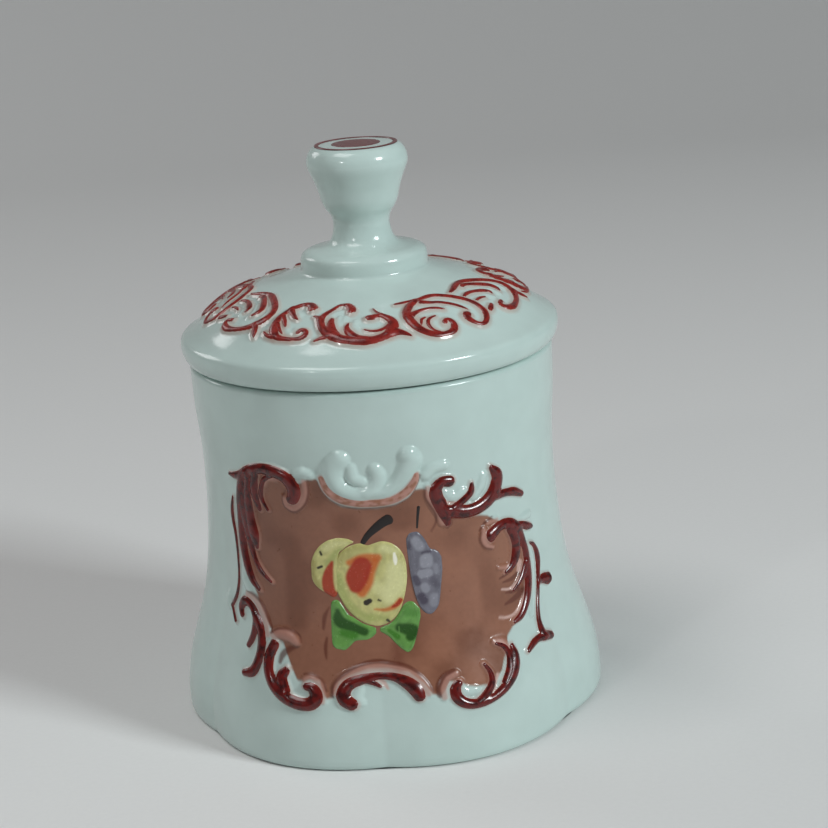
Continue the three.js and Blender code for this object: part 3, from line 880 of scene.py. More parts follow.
SCROLLS: dict[str, tuple[Line, ...]] = {
    "scroll_top_left": (
        ((-37.8, 62.7, 0.9), (-35.8, 63, 1.5), (-33.6, 63.9, 1.8), (-31.2, 65.5, 2.1), (-28.6, 66.7, 2.3),
         (-25.6, 67.3, 2.5), (-22.8, 67, 2.8), (-20.6, 65.8, 3), (-19.5, 63.8, 3), (-19.6, 62, 2.8),
         (-20.2, 61.1, 2.4)),
        ((-31.6, 65.2, 1.8), (-33.6, 62.4, 2.2), (-34.7, 59, 2.3), (-35.2, 55, 2.3), (-35.3, 50, 2.5),
         (-34.9, 45.6, 2.6), (-33.8, 41.8, 2.6), (-32.4, 39.2, 2.2), (-30.4, 37.6, 1.2)),
        ((-32.9, 63.4, 1.4), (-33.7, 58.6, 2.2), (-33.4, 52.6, 2.4), (-32.4, 48, 2.1), (-31.4, 44.8, 1.6),
         (-29.6, 42.2, 1.5), (-26.8, 40.3, 0.7)),
        ((-31, 65, 1.2), (-31.9, 60, 2), (-31.8, 54.4, 2.6), (-31, 50.4, 2.8), (-30.5, 47.4, 1)),
        ((-28.8, 66, 1.8), (-29.6, 62.8, 2.1), (-29.6, 59.8, 2.2), (-28.7, 57, 1.2)),
        ((-24, 66.4, 1), (-26.6, 64.6, 1.1), (-27.8, 61.6, 1.2), (-27.6, 59.4, 1.1), (-26.4, 57.4, 0.8)),
    ),
    "hairline_left": (
        ((-37.8, 57.2, 0.5), (-38.6, 54.4, 1), (-38.7, 51.6, 1.1), (-38, 47.6, 0.9), (-37.6, 42, 0.7),
         (-37.6, 37.6, 0.8), (-38.5, 33.6, 1), (-40.5, 30, 0.9)),
        ((-40.6, 30.2, 0.9), (-39.7, 28.6, 0.9), (-38.7, 27, 0.9)),
    ),
    "scroll_left": (
        ((-36.2, 29.6, 1.6), (-36.6, 31.4, 1.9), (-35.2, 33.2, 2), (-33.2, 33, 2), (-31.4, 31.2, 2.2),
         (-30, 28.8, 2.2), (-29.4, 25.4, 2.1), (-29.9, 21.6, 2), (-31.2, 18.6, 2), (-33.7, 17.4, 1.3)),
        ((-32, 32.2, 1.3), (-31.6, 29.4, 1.7), (-32.1, 26.2, 1.6), (-33.3, 23.7, 1.2)),
    ),
    "scroll_bottom_left": (
        ((-25.8, 26.7, 2), (-27, 23.6, 2.2), (-27, 20.4, 2.3), (-25.5, 17.6, 2.5), (-22.8, 15.6, 2.7),
         (-19.8, 14.7, 2.6), (-17.4, 15, 2.6), (-16.2, 16.6, 2.5), (-16.9, 18.4, 2.2), (-18.4, 18.7, 1.5)),
        ((-22.6, 21.6, 1.4), (-23.7, 19.6, 2.3), (-22.8, 16.8, 2.4)),
    ),
    "scroll_bottom_centre": (
        ((-9.2, 15.3, 2.5), (-10.7, 16.4, 2.6), (-10.8, 18.2, 2.4), (-9.6, 19.9, 2.3), (-7, 20.9, 2),
         (-4, 21.4, 1.5), (-1, 21.1, 1.7), (1.3, 19.9, 2.4), (2.9, 18.2, 2.6), (3.7, 16.3, 2)),
        ((-7.4, 20.7, 1.1), (-5.2, 20, 1), (-3.7, 19, 0.6)),
    ),
    "scroll_bottom_right": (
        ((11.4, 18.3, 1.4), (10.5, 17.2, 1.9), (10.7, 15.1, 2), (12.4, 13.4, 2), (15, 12.8, 1.9),
         (18, 13.2, 1.8), (20.8, 14.5, 2.1), (23.1, 16.6, 2.4), (24.3, 19.4, 2.2), (24.1, 22.4, 1)),
        ((17, 20.8, 0.6), (18, 18.6, 1), (17.9, 16.2, 1.4), (16.2, 14.2, 1.6), (14.4, 13.2, 1.2)),
        ((20.4, 24.2, 0.6), (22.2, 22.8, 1), (23, 20.6, 1.2), (22.4, 17.8, 1.5), (20.6, 15.4, 1.2)),
    ),
    "scroll_right": (
        ((22.8, 48.2, 3.2), (24.4, 49.1, 2.7), (26.6, 49.5, 2.3), (28.8, 48.6, 2.6), (30.8, 46.8, 2.5),
         (32.2, 44.2, 2.1), (33.2, 40.6, 2), (33.4, 36.8, 2.4), (32.8, 33.2, 2.6), (31.3, 29.8, 2.4),
         (28.8, 27.4, 1.9), (26.2, 26.7, 1)),
        ((30.4, 47.6, 1.6), (32.8, 46.8, 1.5), (35, 45.5, 1.6), (36.8, 44.6, 1)),
        ((28, 48.2, 1.6), (29.4, 46, 2.4), (30.1, 43.4, 2.8), (29.5, 40.8, 2.9), (27.8, 39, 1.9),
         (25.8, 38.4, 0.8)),
        ((32.8, 38, 1.6), (31.4, 35.8, 1.8), (29.4, 34.3, 1.2), (27.4, 33.5, 0.6)),
    ),
    "line_right": (
        ((35.3, 41.3, 0.5), (36.9, 40, 1.1), (37.9, 37.8, 1.7), (38, 35.4, 1.8), (37.2, 32.4, 1.4),
         (36, 29.2, 1.2), (34.7, 26.4, 1.3), (33.9, 23.4, 1.5), (34.1, 20.6, 2), (34.6, 19.6, 1.9)),
        ((37, 31.2, 1.3), (39.2, 30.8, 2.1), (41.2, 29.8, 2.5)),
        ((28.2, 19.2, 1.1), (30.2, 20, 1.6), (32.4, 20.1, 1.5), (34.8, 19.4, 1.9), (37.2, 18.3, 1.5)),
    ),
    "scroll_top_right": (
        ((13.8, 63.8, 2.4), (12, 64.1, 2.3), (10.7, 62.8, 2.5), (10.6, 60.8, 2.6), (11.5, 58.4, 2.7),
         (12.3, 56.2, 2.4), (12.8, 54, 1.2)),
        ((12.2, 57.4, 2.2), (15, 56.3, 2.8), (18, 55.7, 2.8), (21, 56, 3), (23.6, 57.2, 3.4),
         (25.1, 59.2, 3.4), (25.4, 61.6, 2.9), (23.7, 64.3, 1)),
        ((25, 56.9, 2), (28, 56.5, 1.7), (30.6, 55.7, 1.8), (33.6, 53.9, 1.2)),
        ((14, 57.5, 1.2), (16.4, 58.5, 1.6), (18.4, 60, 1.6), (18.8, 62, 0.8)),
    ),
}
LID_MOTIFS: dict[str, tuple[Line, ...]] = {
    "a": (
        ((-64, 29, 0.6), (-60, 28.4, 1.2), (-56, 27.8, 1.4), (-51.5, 27.6, 1.4),
         (-47.4, 28.4, 1.5), (-43.4, 29.8, 1.5), (-40.6, 31.4, 1.5), (-39.7, 33.2, 1.5), (-41, 34.8, 1.6),
         (-44, 36.2, 1.5), (-48, 37.1, 1.1), (-52, 37.6, 1), (-56, 37.8, 1.3), (-59, 37.3, 1.3), (-59, 36.4, 1),
         (-56.4, 36, 0.8)),
        ((-56, 28.9, 0.8), (-54, 28.7, 1.1), (-51.8, 29.2, 1.2), (-48.6, 30.7, 1.5), (-46.6, 32.2, 1.5),
         (-47.2, 33.6, 1.1), (-48.6, 34.2, 0.6)),
        ((-64, 31.5, 0.6), (-61, 31.1, 1), (-58, 31.3, 1), (-54.8, 32.2, 1.3),
         (-53.2, 33.2, 1), (-53.8, 33.8, 0.5)),
        ((-64, 33.7, 0.5), (-61.4, 33.5, 0.7), (-59, 33.8, 0.4)),
        ((-66, 36.6, 0.7), (-64, 36.2, 1), (-62, 35.7, 0.7)),
        ((-43.4, 36, 1.2), (-42.2, 37.2, 1.2), (-41.2, 38.3, 0.4)),
    ),
    "b": (
        ((-22.4, 30.9, 2.3), (-24.2, 29.8, 2), (-27, 29.5, 1.4), (-29.8, 30.1, 1.4), (-32.2, 31.4, 1.6),
         (-34.2, 33, 1.4), (-35, 34.8, 1.6), (-34.4, 36.6, 1.8), (-32.2, 37.9, 1.3), (-29, 38.2, 0.8),
         (-26.4, 38.4, 0.4)),
        ((-30, 38, 0.5), (-26.4, 38.1, 0.6), (-23.6, 38, 0.9), (-21.8, 37.4, 1), (-22, 36.6, 0.9), (-23.8, 36.4, 0.9),
         (-25, 37, 0.7)),
        ((-38, 37.2, 0.4), (-36, 37.8, 0.7), (-33.2, 38, 0.9)),
        ((-32, 31.2, 1.5), (-30.2, 32.6, 1.2), (-28, 33.7, 0.8), (-27, 34, 0.4)),
        ((-33.6, 33.4, 1), (-31.6, 34.8, 0.9), (-30.4, 35.8, 0.4)),
        ((-34, 35.4, 1), (-32, 36.6, 0.6), (-30.6, 37.2, 0.3)),
    ),
    "c": (
        ((-6.5, 31.9, 1.8), (-6.6, 31, 2.1), (-7.8, 30, 1.8), (-9.6, 29.6, 1), (-12, 29.8, 0.8), (-14.4, 31.2, 1),
         (-16.6, 32.5, 1.3), (-17.6, 33.9, 1.5), (-16.9, 35.4, 1.5), (-14.8, 36.8, 1.6), (-11.4, 37.8, 1.8),
         (-7, 38.4, 1.6), (-2, 38.7, 1.7), (2, 38.5, 1.5), (6, 37.9, 1.5), (9, 37.6, 1.5), (11.6, 38, 0.9),
         (13.2, 38.5, 0.4)),
        ((-21, 33, 0.4), (-19.4, 33.3, 0.9), (-17.8, 34.2, 1.4)),
        ((-18.2, 38.4, 0.4), (-16, 37.9, 0.7), (-13, 37.6, 0.8)),
        ((-13.4, 33.9, 0.9), (-13.5, 35.2, 1.5), (-12.4, 36.6, 1.5), (-10.4, 37.7, 1.2)),
        ((-7.2, 35.1, 0.4), (-7.8, 36.2, 1.1), (-6.5, 37.2, 1.4), (-4, 38, 1.2), (-1, 38.3, 1)),
        ((-0.3, 34, 1.5), (1.4, 33.9, 1.6), (4, 33.6, 1.2), (6.5, 34.3, 1.6), (8.2, 35.4, 1.8), (8.1, 36.6, 1.8),
         (6, 37.7, 1.6)),
        ((2, 31.3, 0.3), (3.2, 32.4, 0.6), (5, 33.6, 0.9)),
        ((-1.6, 36.6, 0.3), (1.2, 37, 0.5), (4.4, 36.8, 0.7), (6.8, 36.2, 1)),
    ),
    "d": (
        ((11, 30.6, 0.5), (14, 30.5, 0.8), (18, 30.3, 0.9), (22, 30.1, 1), (26, 29.7, 1.3), (30, 29.8, 1.2),
         (34, 30.6, 1.2), (38, 31.9, 1.3), (41.2, 33.5, 1.2), (43.2, 35.2, 1.2), (43.8, 36.8, 1.3), (42.4, 38.1, 1),
         (40, 38.8, 0.8), (37.4, 38.4, 0.9), (35.4, 37.3, 1.4), (35.4, 36.5, 1.6), (36.6, 36.5, 1.4)),
        ((20, 30.6, 1.2), (16.6, 31.7, 1.6), (14.3, 33.6, 1.8), (14.2, 35.2, 1.9), (15.6, 36.9, 1.7), (18, 38.1, 1.4),
         (21, 38.9, 1.2), (24.4, 39.1, 1), (27.6, 38.8, 1.2), (29, 37.8, 1.2), (28.4, 36.9, 1.1), (26.8, 36.7, 1),
         (25.8, 37.2, 0.8)),
        ((21.4, 31, 1.4), (25.4, 31.7, 1), (29.4, 32.2, 0.9), (33, 33.3, 0.9), (36, 34.6, 0.7), (37.6, 35.4, 0.3)),
        ((15.4, 34.6, 1.4), (18, 33.8, 1), (22, 33.4, 0.9), (26, 33.6, 0.8), (28.8, 34.2, 0.4)),
        ((24, 35.4, 0.3), (21.4, 35.8, 0.6), (20.2, 36.8, 0.7), (21, 38, 0.6), (23, 38.7, 0.5)),
        ((20.2, 35.4, 0.3), (18.4, 35.8, 0.6), (17.8, 36.7, 0.4)),
    ),
}

# Unpainted leaf ridges inside the lid scrolls: [degrees, r, width].
LID_RIDGES: tuple[Line, ...] = (
    ((-15.4, 33.8, 0.8), (-12.8, 32, 0.9), (-9.8, 31.4, 0.7)),
    ((-10.8, 33, 0.7), (-11.2, 35, 0.9), (-9.6, 36.8, 0.8)),
    ((-8.4, 33, 0.6), (-9.4, 34.6, 0.7)),
    ((-4.6, 34.4, 0.7), (-5.4, 35.6, 0.8), (-3.4, 36.8, 0.7)),
    ((-29.4, 31.6, 0.8), (-27.4, 32.6, 0.8)),
    ((-30, 36.2, 0.8), (-27.6, 37.1, 0.8), (-26.2, 36.2, 0.6)),
    ((-52, 31, 0.8), (-50, 32.8, 0.8), (-50.4, 34.6, 0.6)),
    ((-56.6, 33, 0.7), (-55.6, 34.6, 0.7)),
    ((-44.4, 30.9, 0.8), (-42.4, 32.6, 0.9), (-43.6, 34.4, 0.7)),
    ((22.6, 36.2, 0.7), (22.6, 37.6, 0.7)),
    ((30.6, 33.6, 0.9), (33.6, 34.8, 0.9), (35, 35.6, 0.6)),
    ((17.4, 35, 0.7), (16.6, 36, 0.7)),
)
# Raised glass beside the red strokes, thinly washed with rose: [s, z, width].
ROSE_RIDGES: tuple[Line, ...] = (
    ((-16.9, 65.9, 1.2), (-16.9, 63.2, 1.4), (-17.9, 60.8, 1.5), (-19.8, 59.1, 1.4), (-21.6, 59.7, 1.1),
     (-22, 61.4, 0.8)),
    ((-23.4, 65.3, 0.7), (-25.6, 64.9, 0.7), (-26.6, 63.4, 0.6)),
    ((-34.6, 35, 1.3), (-32.2, 34.8, 1.5), (-30.2, 33.2, 1.6), (-28.6, 30.6, 1.5), (-27.9, 27.8, 1.2)),
    ((-26.6, 28.3, 1.6), (-24.6, 29, 2.2), (-22.4, 28.9, 2.2), (-20.9, 27.9, 1.4)),
    ((-15, 15.6, 0.9), (-14.9, 17.8, 1), (-15.8, 19.8, 1.1), (-17.6, 20.6, 1), (-18.8, 20.1, 0.7)),
    ((-12.6, 17.6, 1), (-12.2, 19.6, 1.3), (-10.4, 21.5, 1.5), (-7.6, 22.8, 1.6), (-4, 23.2, 1.6),
     (-0.4, 22.7, 1.6), (2.8, 21.1, 1.6), (4.6, 18.8, 1.5), (5.4, 16.9, 1.1)),
    ((8.3, 15.6, 1.2), (8.2, 17.6, 1.5), (9.2, 19.5, 1.5), (11, 20.2, 1.2)),
    ((8.9, 63.4, 0.9), (8.9, 61.2, 1), (9.8, 58.9, 1.1), (11, 56.6, 1.1), (11.6, 54.4, 1)),
    ((21.2, 50.2, 1), (20.9, 48.2, 1.2), (21.6, 46.3, 1), (23.2, 45.4, 0.8)),
    ((22.4, 51.3, 0.8), (25, 51.3, 0.7)),
    ((24.4, 40, 0.6), (26.4, 39.4, 0.8), (28.2, 39.4, 0.6)),
    ((20.2, 24.7, 0.7), (22.4, 23.9, 0.9), (23.6, 21.8, 0.8)),
    ((-12.9, 67, 1.6), (-12, 64.4, 2), (-9.8, 62.4, 2.2), (-6.4, 61.3, 2), (-2.6, 61.1, 2), (1.4, 61.6, 2.1),
     (4.4, 63.2, 2.2), (6.1, 65.4, 2), (6.6, 67, 1.4)),
)

# Pale rose lines along the crests: painted highlights where the ridges catch the light: [s, z, width].
CREST_HIGHLIGHTS: tuple[Line, ...] = (
    ((24.6, 34.8, 0.5), (26.7, 34.1, 0.6), (28.8, 34.6, 0.6), (30.5, 35.7, 0.5)),
    ((22.8, 29, 0.5), (24.6, 28.3, 0.6), (27, 28.2, 0.7), (29.4, 29.6, 0.7), (31.2, 31.7, 0.7), (31.7, 33.2, 0.8)),
    ((12.2, 59.7, 0.5), (13.3, 58.9, 0.6), (14.9, 58.6, 0.5)),
    ((16.2, 56.9, 0.5), (18, 56.6, 0.6), (20.3, 56.9, 0.6), (21.8, 57.7, 0.4)),
    ((16.8, 20.9, 0.4), (17.8, 19.4, 0.5), (18.2, 18.2, 0.4)),
    ((20.4, 24.3, 0.5), (21.9, 23.6, 0.5), (23, 22.3, 0.4)),
    ((-36.6, 57, 0.5), (-36.8, 52, 0.8), (-36.8, 47.6, 0.8), (-36.4, 43.6, 0.6)),
    ((-30.4, 63.6, 0.5), (-29.4, 65, 0.5)),
    ((19.6, 17.4, 0.8), (18.6, 15.6, 0.8), (18.2, 14.2, 0.6)),
    ((31, 38.6, 1.4), (30.4, 37, 1.2)),
    ((-5, 21.1, 0.7), (-3.2, 20, 0.9), (-2.3, 18.4, 0.6)),
)

# Thin dark lines at the foot of the ridges: pooled enamel, and painted shade where the ridges shade the panel: [s, z,
# width].
POOLED_AND_SHADE_LINES: tuple[Line, ...] = (
    ((-16.1, 66, 0.3), (-16.1, 63.2, 0.5), (-17.2, 60.3, 0.5), (-19.6, 58.3, 0.5), (-21.9, 59, 0.5),
     (-22.4, 61, 0.4), (-21.6, 63, 0.3)),
    ((-27.4, 64.2, 0.3), (-25.2, 66, 0.3), (-22.6, 65.5, 0.3)),
    ((-34.6, 35.8, 0.4), (-32, 35.6, 0.6), (-29.6, 34.1, 0.6), (-27.9, 31.5, 0.6), (-26.8, 28.9, 0.5)),
    ((-27, 28.6, 0.4), (-25.2, 30, 0.5), (-22.6, 30.4, 0.5), (-20.4, 29.5, 0.5), (-19.8, 28, 0.3)),
    ((-20.4, 26.9, 0.4), (-22.4, 26, 1.2), (-24, 24.4, 1.3), (-24.6, 22.5, 0.7)),
    ((-19, 21.2, 0.4), (-17, 21.4, 0.4), (-15, 20.2, 0.4), (-14.2, 18, 0.4)),
    ((-13, 16.8, 0.5), (-12.9, 19.4, 0.6), (-11, 21.8, 0.7), (-8, 23.7, 0.7), (-4.8, 24.5, 0.9), (-1.4, 24.1, 0.8),
     (1.8, 23.2, 0.7), (4.2, 21.2, 0.6), (5.8, 18.8, 0.5), (6.4, 17.2, 0.4)),
    ((7.4, 16, 0.8), (7.3, 18, 1), (8.6, 20.2, 0.9), (10.8, 21.1, 0.6)),
    ((8.4, 63.6, 0.3), (8.3, 61.2, 0.4), (9.2, 59.1, 0.5), (10.2, 57, 0.5), (10.3, 54.9, 0.5), (9.2, 53, 0.4)),
    ((20.2, 50.2, 0.4), (21.6, 51.6, 0.5), (23.8, 52.3, 0.4)),
    ((20.4, 49.8, 0.3), (20.1, 48, 0.4), (20.9, 46.2, 0.4), (22.8, 45, 0.4)),
    ((13.4, 55.2, 0.8), (13.6, 54, 0.9), (12.8, 53.2, 0.6)),
    ((-13.9, 66.2, 0.3), (-13.3, 64.2, 0.35), (-11.7, 62.1, 0.4), (-9.2, 60.6, 0.4), (-5.8, 59.9, 0.5),
     (-1.6, 59.9, 0.5), (2.2, 60.4, 0.4), (5.2, 62, 0.35), (6.6, 64.4, 0.35), (7.4, 66.7, 0.4)),
    ((28, 38, 1), (26, 37.6, 0.8), (24.4, 37.4, 0.5)),
    ((29.6, 33, 1.2), (27.4, 33.2, 0.9), (25.6, 33.6, 0.4)),
    ((30.6, 32, 1.6), (28, 31.4, 1.4), (25, 31.2, 0.6)),
    ((30.4, 36.6, 1), (28, 36, 1), (25.2, 36.2, 0.4)),
    ((-13.6, 36.6, 0.3), (-14.6, 34.4, 0.9), (-15, 31.6, 0.6)),
    ((-14.3, 29.6, 0.5), (-14.6, 27.4, 0.8), (-14.4, 25, 0.4)),
)

# White moulded shell over the panel: [s, z, width].
SHELL: tuple[Line, ...] = (
    ((-8.8, 71.6, 2.6), (-10.2, 69.6, 3.4), (-10.4, 67, 2.8), (-9.2, 64.6, 2.2), (-6.4, 63.2, 2.1),
     (-3.8, 63.6, 2.1), (-1.8, 65.4, 1.9), (-1.2, 67.4, 1.7), (-1.8, 69, 1.3)),
    ((-3.6, 63.5, 1.6), (-0.2, 63.6, 1.6), (2.4, 65.2, 1.8), (4.3, 67.6, 2.6), (5.6, 70, 3.2), (5.2, 71.6, 2.8)),
    ((-6.8, 69.6, 0.9), (-6.4, 67, 1.2), (-4.6, 66, 0.9)),
    ((8.6, 66.4, 1.4), (10.2, 67.6, 1.2), (12.6, 67.8, 0.9)),
    ((-15.4, 67.4, 1), (-17, 67.8, 1.2), (-18.4, 67.4, 0.8)),
)

# Unpainted ridges beyond the panel: [s, z, width].
GLASS_RIDGES: tuple[Line, ...] = (
    ((-35.6, 41.4, 1), (-35.8, 38.4, 1.4), (-34.4, 36.4, 1.2)),
    ((34.9, 40.6, 1), (35.8, 37.4, 1.3), (35.2, 33.6, 1.3), (33.9, 29.6, 1.4), (32.4, 26, 1.2)),
    ((12.6, 61.2, 1), (14.4, 60, 1.4), (16.8, 60.6, 1)),
    ((19.4, 58.6, 0.8), (21.2, 60.4, 1.2), (22, 62.6, 1)),
    ((11.6, 17.4, 0.8), (12.6, 15.9, 1), (14.4, 15.8, 0.8)),
    ((-7.8, 18.8, 0.8), (-8.4, 16.8, 1), (-7.6, 15.6, 0.8)),
    ((32.6, 47.9, 0.8), (34.8, 48, 0.9), (36.6, 47.6, 0.7)),
    ((-42.2, 31.6, 1.2), (-43.2, 30.4, 1.4), (-42.4, 29.2, 1)),
)

# Darker brown in the front groove: painted shade where the groove falls in shadow, and wash gathered there: [s, z,
# width].
GROOVE_SHADE: Line = ((0.3, 22.8, 1.6), (0.1, 25.4, 2.2), (-0.1, 29, 1))

# Brown wash of the panel: [s, low edge, high edge].
GROUND: Line = (
    (-35.2, 44, 54), (-33.8, 40, 60), (-32.2, 37, 63), (-31, 35.4, 64.4), (-29, 32.6, 65.6), (-27.2, 29.4, 66.4),
    (-24, 27, 66.6), (-22, 22.6, 66), (-20.4, 19.6, 65.2), (-18.8, 19.6, 64.8), (-17.4, 20.6, 65.4),
    (-15.6, 20.2, 66.9), (-14.2, 16.4, 66.6), (-13.2, 16.6, 64.2), (-11.8, 20.4, 62), (-9.4, 22, 60.4),
    (-6, 23.2, 59.8), (-2, 23.2, 59.7), (2, 22.2, 60.2), (4.8, 19.4, 61.6), (6.2, 16.6, 63.2), (7.6, 16.2, 63.2),
    (8.6, 17.4, 63), (9.6, 19, 60), (11.6, 18.6, 57.4), (13, 17.2, 55.6), (15.6, 16.4, 54.9), (18.6, 16.2, 54.2),
    (20.8, 18, 53.6), (22.6, 21.8, 52.9), (24, 24.6, 51.6), (26.4, 26.2, 50), (28.6, 27.2, 48.4), (30.4, 30, 46),
    (31.6, 33, 43), (32.6, 36, 40),
)


SCROLL_STROKES: tuple[Line, ...] = tuple(rows for strokes in SCROLLS.values() for rows in strokes)


@dataclass(frozen=True)
class Ridges:
    """Lines moulded alike: how high a ridge stands and how far it runs past its line."""

    lines: tuple[Line, ...]
    rise: float
    spread: float


@dataclass(frozen=True)
class Washes:
    """Lines washed alike: their colour, its cover, its fading edge and how far past the line it goes."""

    lines: tuple[Line, ...]
    colour: Tone
    strength: float
    soft: float
    reach: float = 0.0
    step: float = SAMPLE


@dataclass(frozen=True)
class FruitPalette:
    """The fruit, leaves and grapes as filled shapes with their dabs, back to front."""

    left: PaintedShape = PaintedShape(
        "fruit_left", "enamel_fruit",
        ((-17.1, 43.6, 45.6), (-16.8, 42.3, 47.4), (-16, 41.1, 49.3), (-14.8, 40.2, 50.9), (-13.6, 39.5, 51.9),
         (-12.8, 39, 52.4), (-12.2, 39, 52.6), (-11.6, 40.4, 52.8), (-11, 48.4, 52.9), (-9.8, 50.2, 52.9),
         (-8.6, 51.2, 52.7), (-7.4, 51.8, 52.1)),
        Tone.FRUIT, (
            Dab(((-16.4, 47, 1.4), (-16.6, 44, 1.4), (-15.6, 41.6, 1.2)), Tone.FRUIT_OLIVE, 0.6, 0.9),
            Dab(((-13.4, 50.6, 2), (-11.4, 51.6, 1.6), (-9, 51.9, 1)), Tone.FRUIT_LIGHT, 0.45, 1.4),
            Dab(((-13.2, 46.8, 1.2), (-11.6, 49, 1.4), (-10.4, 50.2, 1)), Tone.FRUIT_GREEN, 0.5, 1.2),
            Dab(((-12.3, 47.2, 0.7), (-13.1, 45, 1.9), (-13.5, 42.6, 2.6), (-13.1, 40.2, 2.6), (-11.6, 39, 2)),
                Tone.BLUSH, 0.95, 0.6),
            Dab(((-14.7, 49.5, 0.5), (-14.5, 48.9, 0.6)), Tone.INK, 0.95, 0.2),
            Dab(((-15.4, 45.7, 0.6), (-14.6, 46.1, 0.6)), Tone.INK, 0.95, 0.2),
        ))
    front: PaintedShape = PaintedShape(
        "fruit_front", "enamel_fruit",
        ((-12.1, 42.4, 44.8), (-11.8, 40.8, 46.8), (-11, 38.7, 48.7), (-9.8, 36.4, 50.2), (-8.2, 34.5, 51.2),
         (-6.2, 33, 51.7), (-4.6, 32.4, 51.2), (-3.4, 32.2, 51.5), (-1.6, 32.7, 52), (0.2, 34, 51.6), (1.5, 36, 50.7),
         (2.5, 38.8, 49.4), (3.1, 41.4, 47.8), (3.4, 43.6, 46)),
        Tone.FRUIT, (
            Dab(((-10.6, 48, 2.6), (-8, 50.4, 2.4), (-5, 50.6, 1.6)), Tone.FRUIT_OLIVE, 0.45, 1.8),
            Dab(((-11.2, 44, 1.6), (-10.4, 39.6, 2), (-8.2, 36, 2.2), (-5.4, 34, 2)), Tone.FRUIT_GREEN, 0.55, 1.4),
            Dab(((-0.6, 38.6, 3), (0.8, 42, 4.6), (1, 45.6, 3.6)), Tone.FRUIT_LIGHT, 0.85, 2.6),
            Dab(((-3.4, 41.6, 2.6), (-1.4, 39.8, 3)), Tone.FRUIT_LIGHT, 0.6, 2.2),
            Dab(((-1, 50.4, 2), (1.2, 49.4, 1.6)), Tone.FRUIT_LIGHT, 0.7, 1.4),
            Dab(((-4.4, 34.4, 1.8), (-1.8, 34, 1.4)), Tone.FRUIT_GREEN, 0.5, 1.2),
            Dab(((-8.6, 47.2, 1.4), (-5.8, 48.2, 2), (-2.6, 48.2, 1.8)), Tone.BLUSH_ORANGE, 0.85, 1),
            Dab(((-3.2, 47.2, 1.8), (-4.4, 44.8, 2.2), (-5, 42.4, 2.2), (-6.4, 40.2, 2.2)), Tone.BLUSH_ORANGE,
                0.9, 1.1),
            Dab(((-6, 46.4, 4.2), (-7.2, 43.8, 4.8), (-7.6, 41.6, 3)), Tone.BLUSH, 0.97, 0.9),
            Dab(((-3.9, 36.2, 0.4), (-1.8, 36, 0.8), (0.2, 36.7, 1.2), (1.5, 38, 1.3)), Tone.BLUSH_ORANGE, 0.8, 0.7),
            Dab(((-0.2, 36.6, 0.5), (0.9, 37.2, 0.9), (1.6, 38.1, 0.8)), Tone.BLUSH, 0.9, 0.3),
            Dab(((-5.6, 37.8, 1.3), (-4.9, 38.2, 1.1)), Tone.INK, 0.97, 0.2),
            Dab(((-3, 38.3, 0.5), (-2.6, 38.1, 0.4)), Tone.INK, 0.95, 0.15),
            Dab(((-1.4, 33.6, 0.7), (-1.1, 33.3, 0.6)), Tone.INK, 0.95, 0.2),
            Dab(((1, 49, 0.5), (1.1, 47.6, 0.9), (1.1, 46.5, 0.5)), Tone.GLINT, 0.95, 0.3),
        ))
    leaf_left: PaintedShape = PaintedShape(
        "leaf_left", "enamel_leaf",
        ((-13.3, 31.4, 33.6), (-13.1, 28.4, 37.4), (-12.6, 27.4, 38.3), (-11.6, 27.1, 38.4), (-10.6, 27, 37),
         (-9.6, 27.8, 35.2), (-8.4, 29, 34.4), (-7, 29.2, 33.3),
         (-5.8, 29.3, 32.7), (-4.6, 30, 32.2), (-3.9, 30.8, 31.8)),
        Tone.LEAF_LIGHT, (
            Dab(((-11.8, 36, 1), (-11.4, 33.6, 2.6), (-9, 32.4, 2.2), (-6.4, 31.2, 1.8)), Tone.LEAF_DARK, 0.95, 0.8),
            Dab(((-10.8, 31, 1.6), (-8.6, 30.4, 1.8)), Tone.LEAF, 0.8, 1),
            Dab(((-11.4, 29.4, 1.8), (-10.8, 27.8, 1.4)), Tone.LEAF_LIGHT, 0.5, 1),
        ))
    leaf_right: PaintedShape = PaintedShape(
        "leaf_right", "enamel_leaf",
        ((-3.2, 31, 31.8), (-2.2, 30.4, 32.3), (-1.2, 29.6, 32.7), (0, 28.1, 33.7), (1.2, 26.8, 35.4), (2.2, 26.1, 37),
         (3.2, 26.8, 37.6), (4.2, 29.2, 37.4), (5, 32, 36.4), (5.5, 34, 35.6)),
        Tone.LEAF_LIGHT, (
            Dab(((1, 31.8, 2), (3.4, 30.9, 3), (3, 29.6, 2)), Tone.LEAF_DARK, 0.95, 0.8),
            Dab(((-1.2, 31.2, 0.8), (0.4, 29.8, 1.2)), Tone.LEAF, 0.85, 0.7),
            Dab(((3, 35.2, 2), (4.8, 34.6, 1.2)), Tone.LEAF, 0.45, 1.2),
            Dab(((0.8, 32, 0.3), (0.9, 30.4, 0.3), (1.8, 29.8, 0.25)), Tone.LEAF_LIGHT, 0.7, 0.2),
        ))
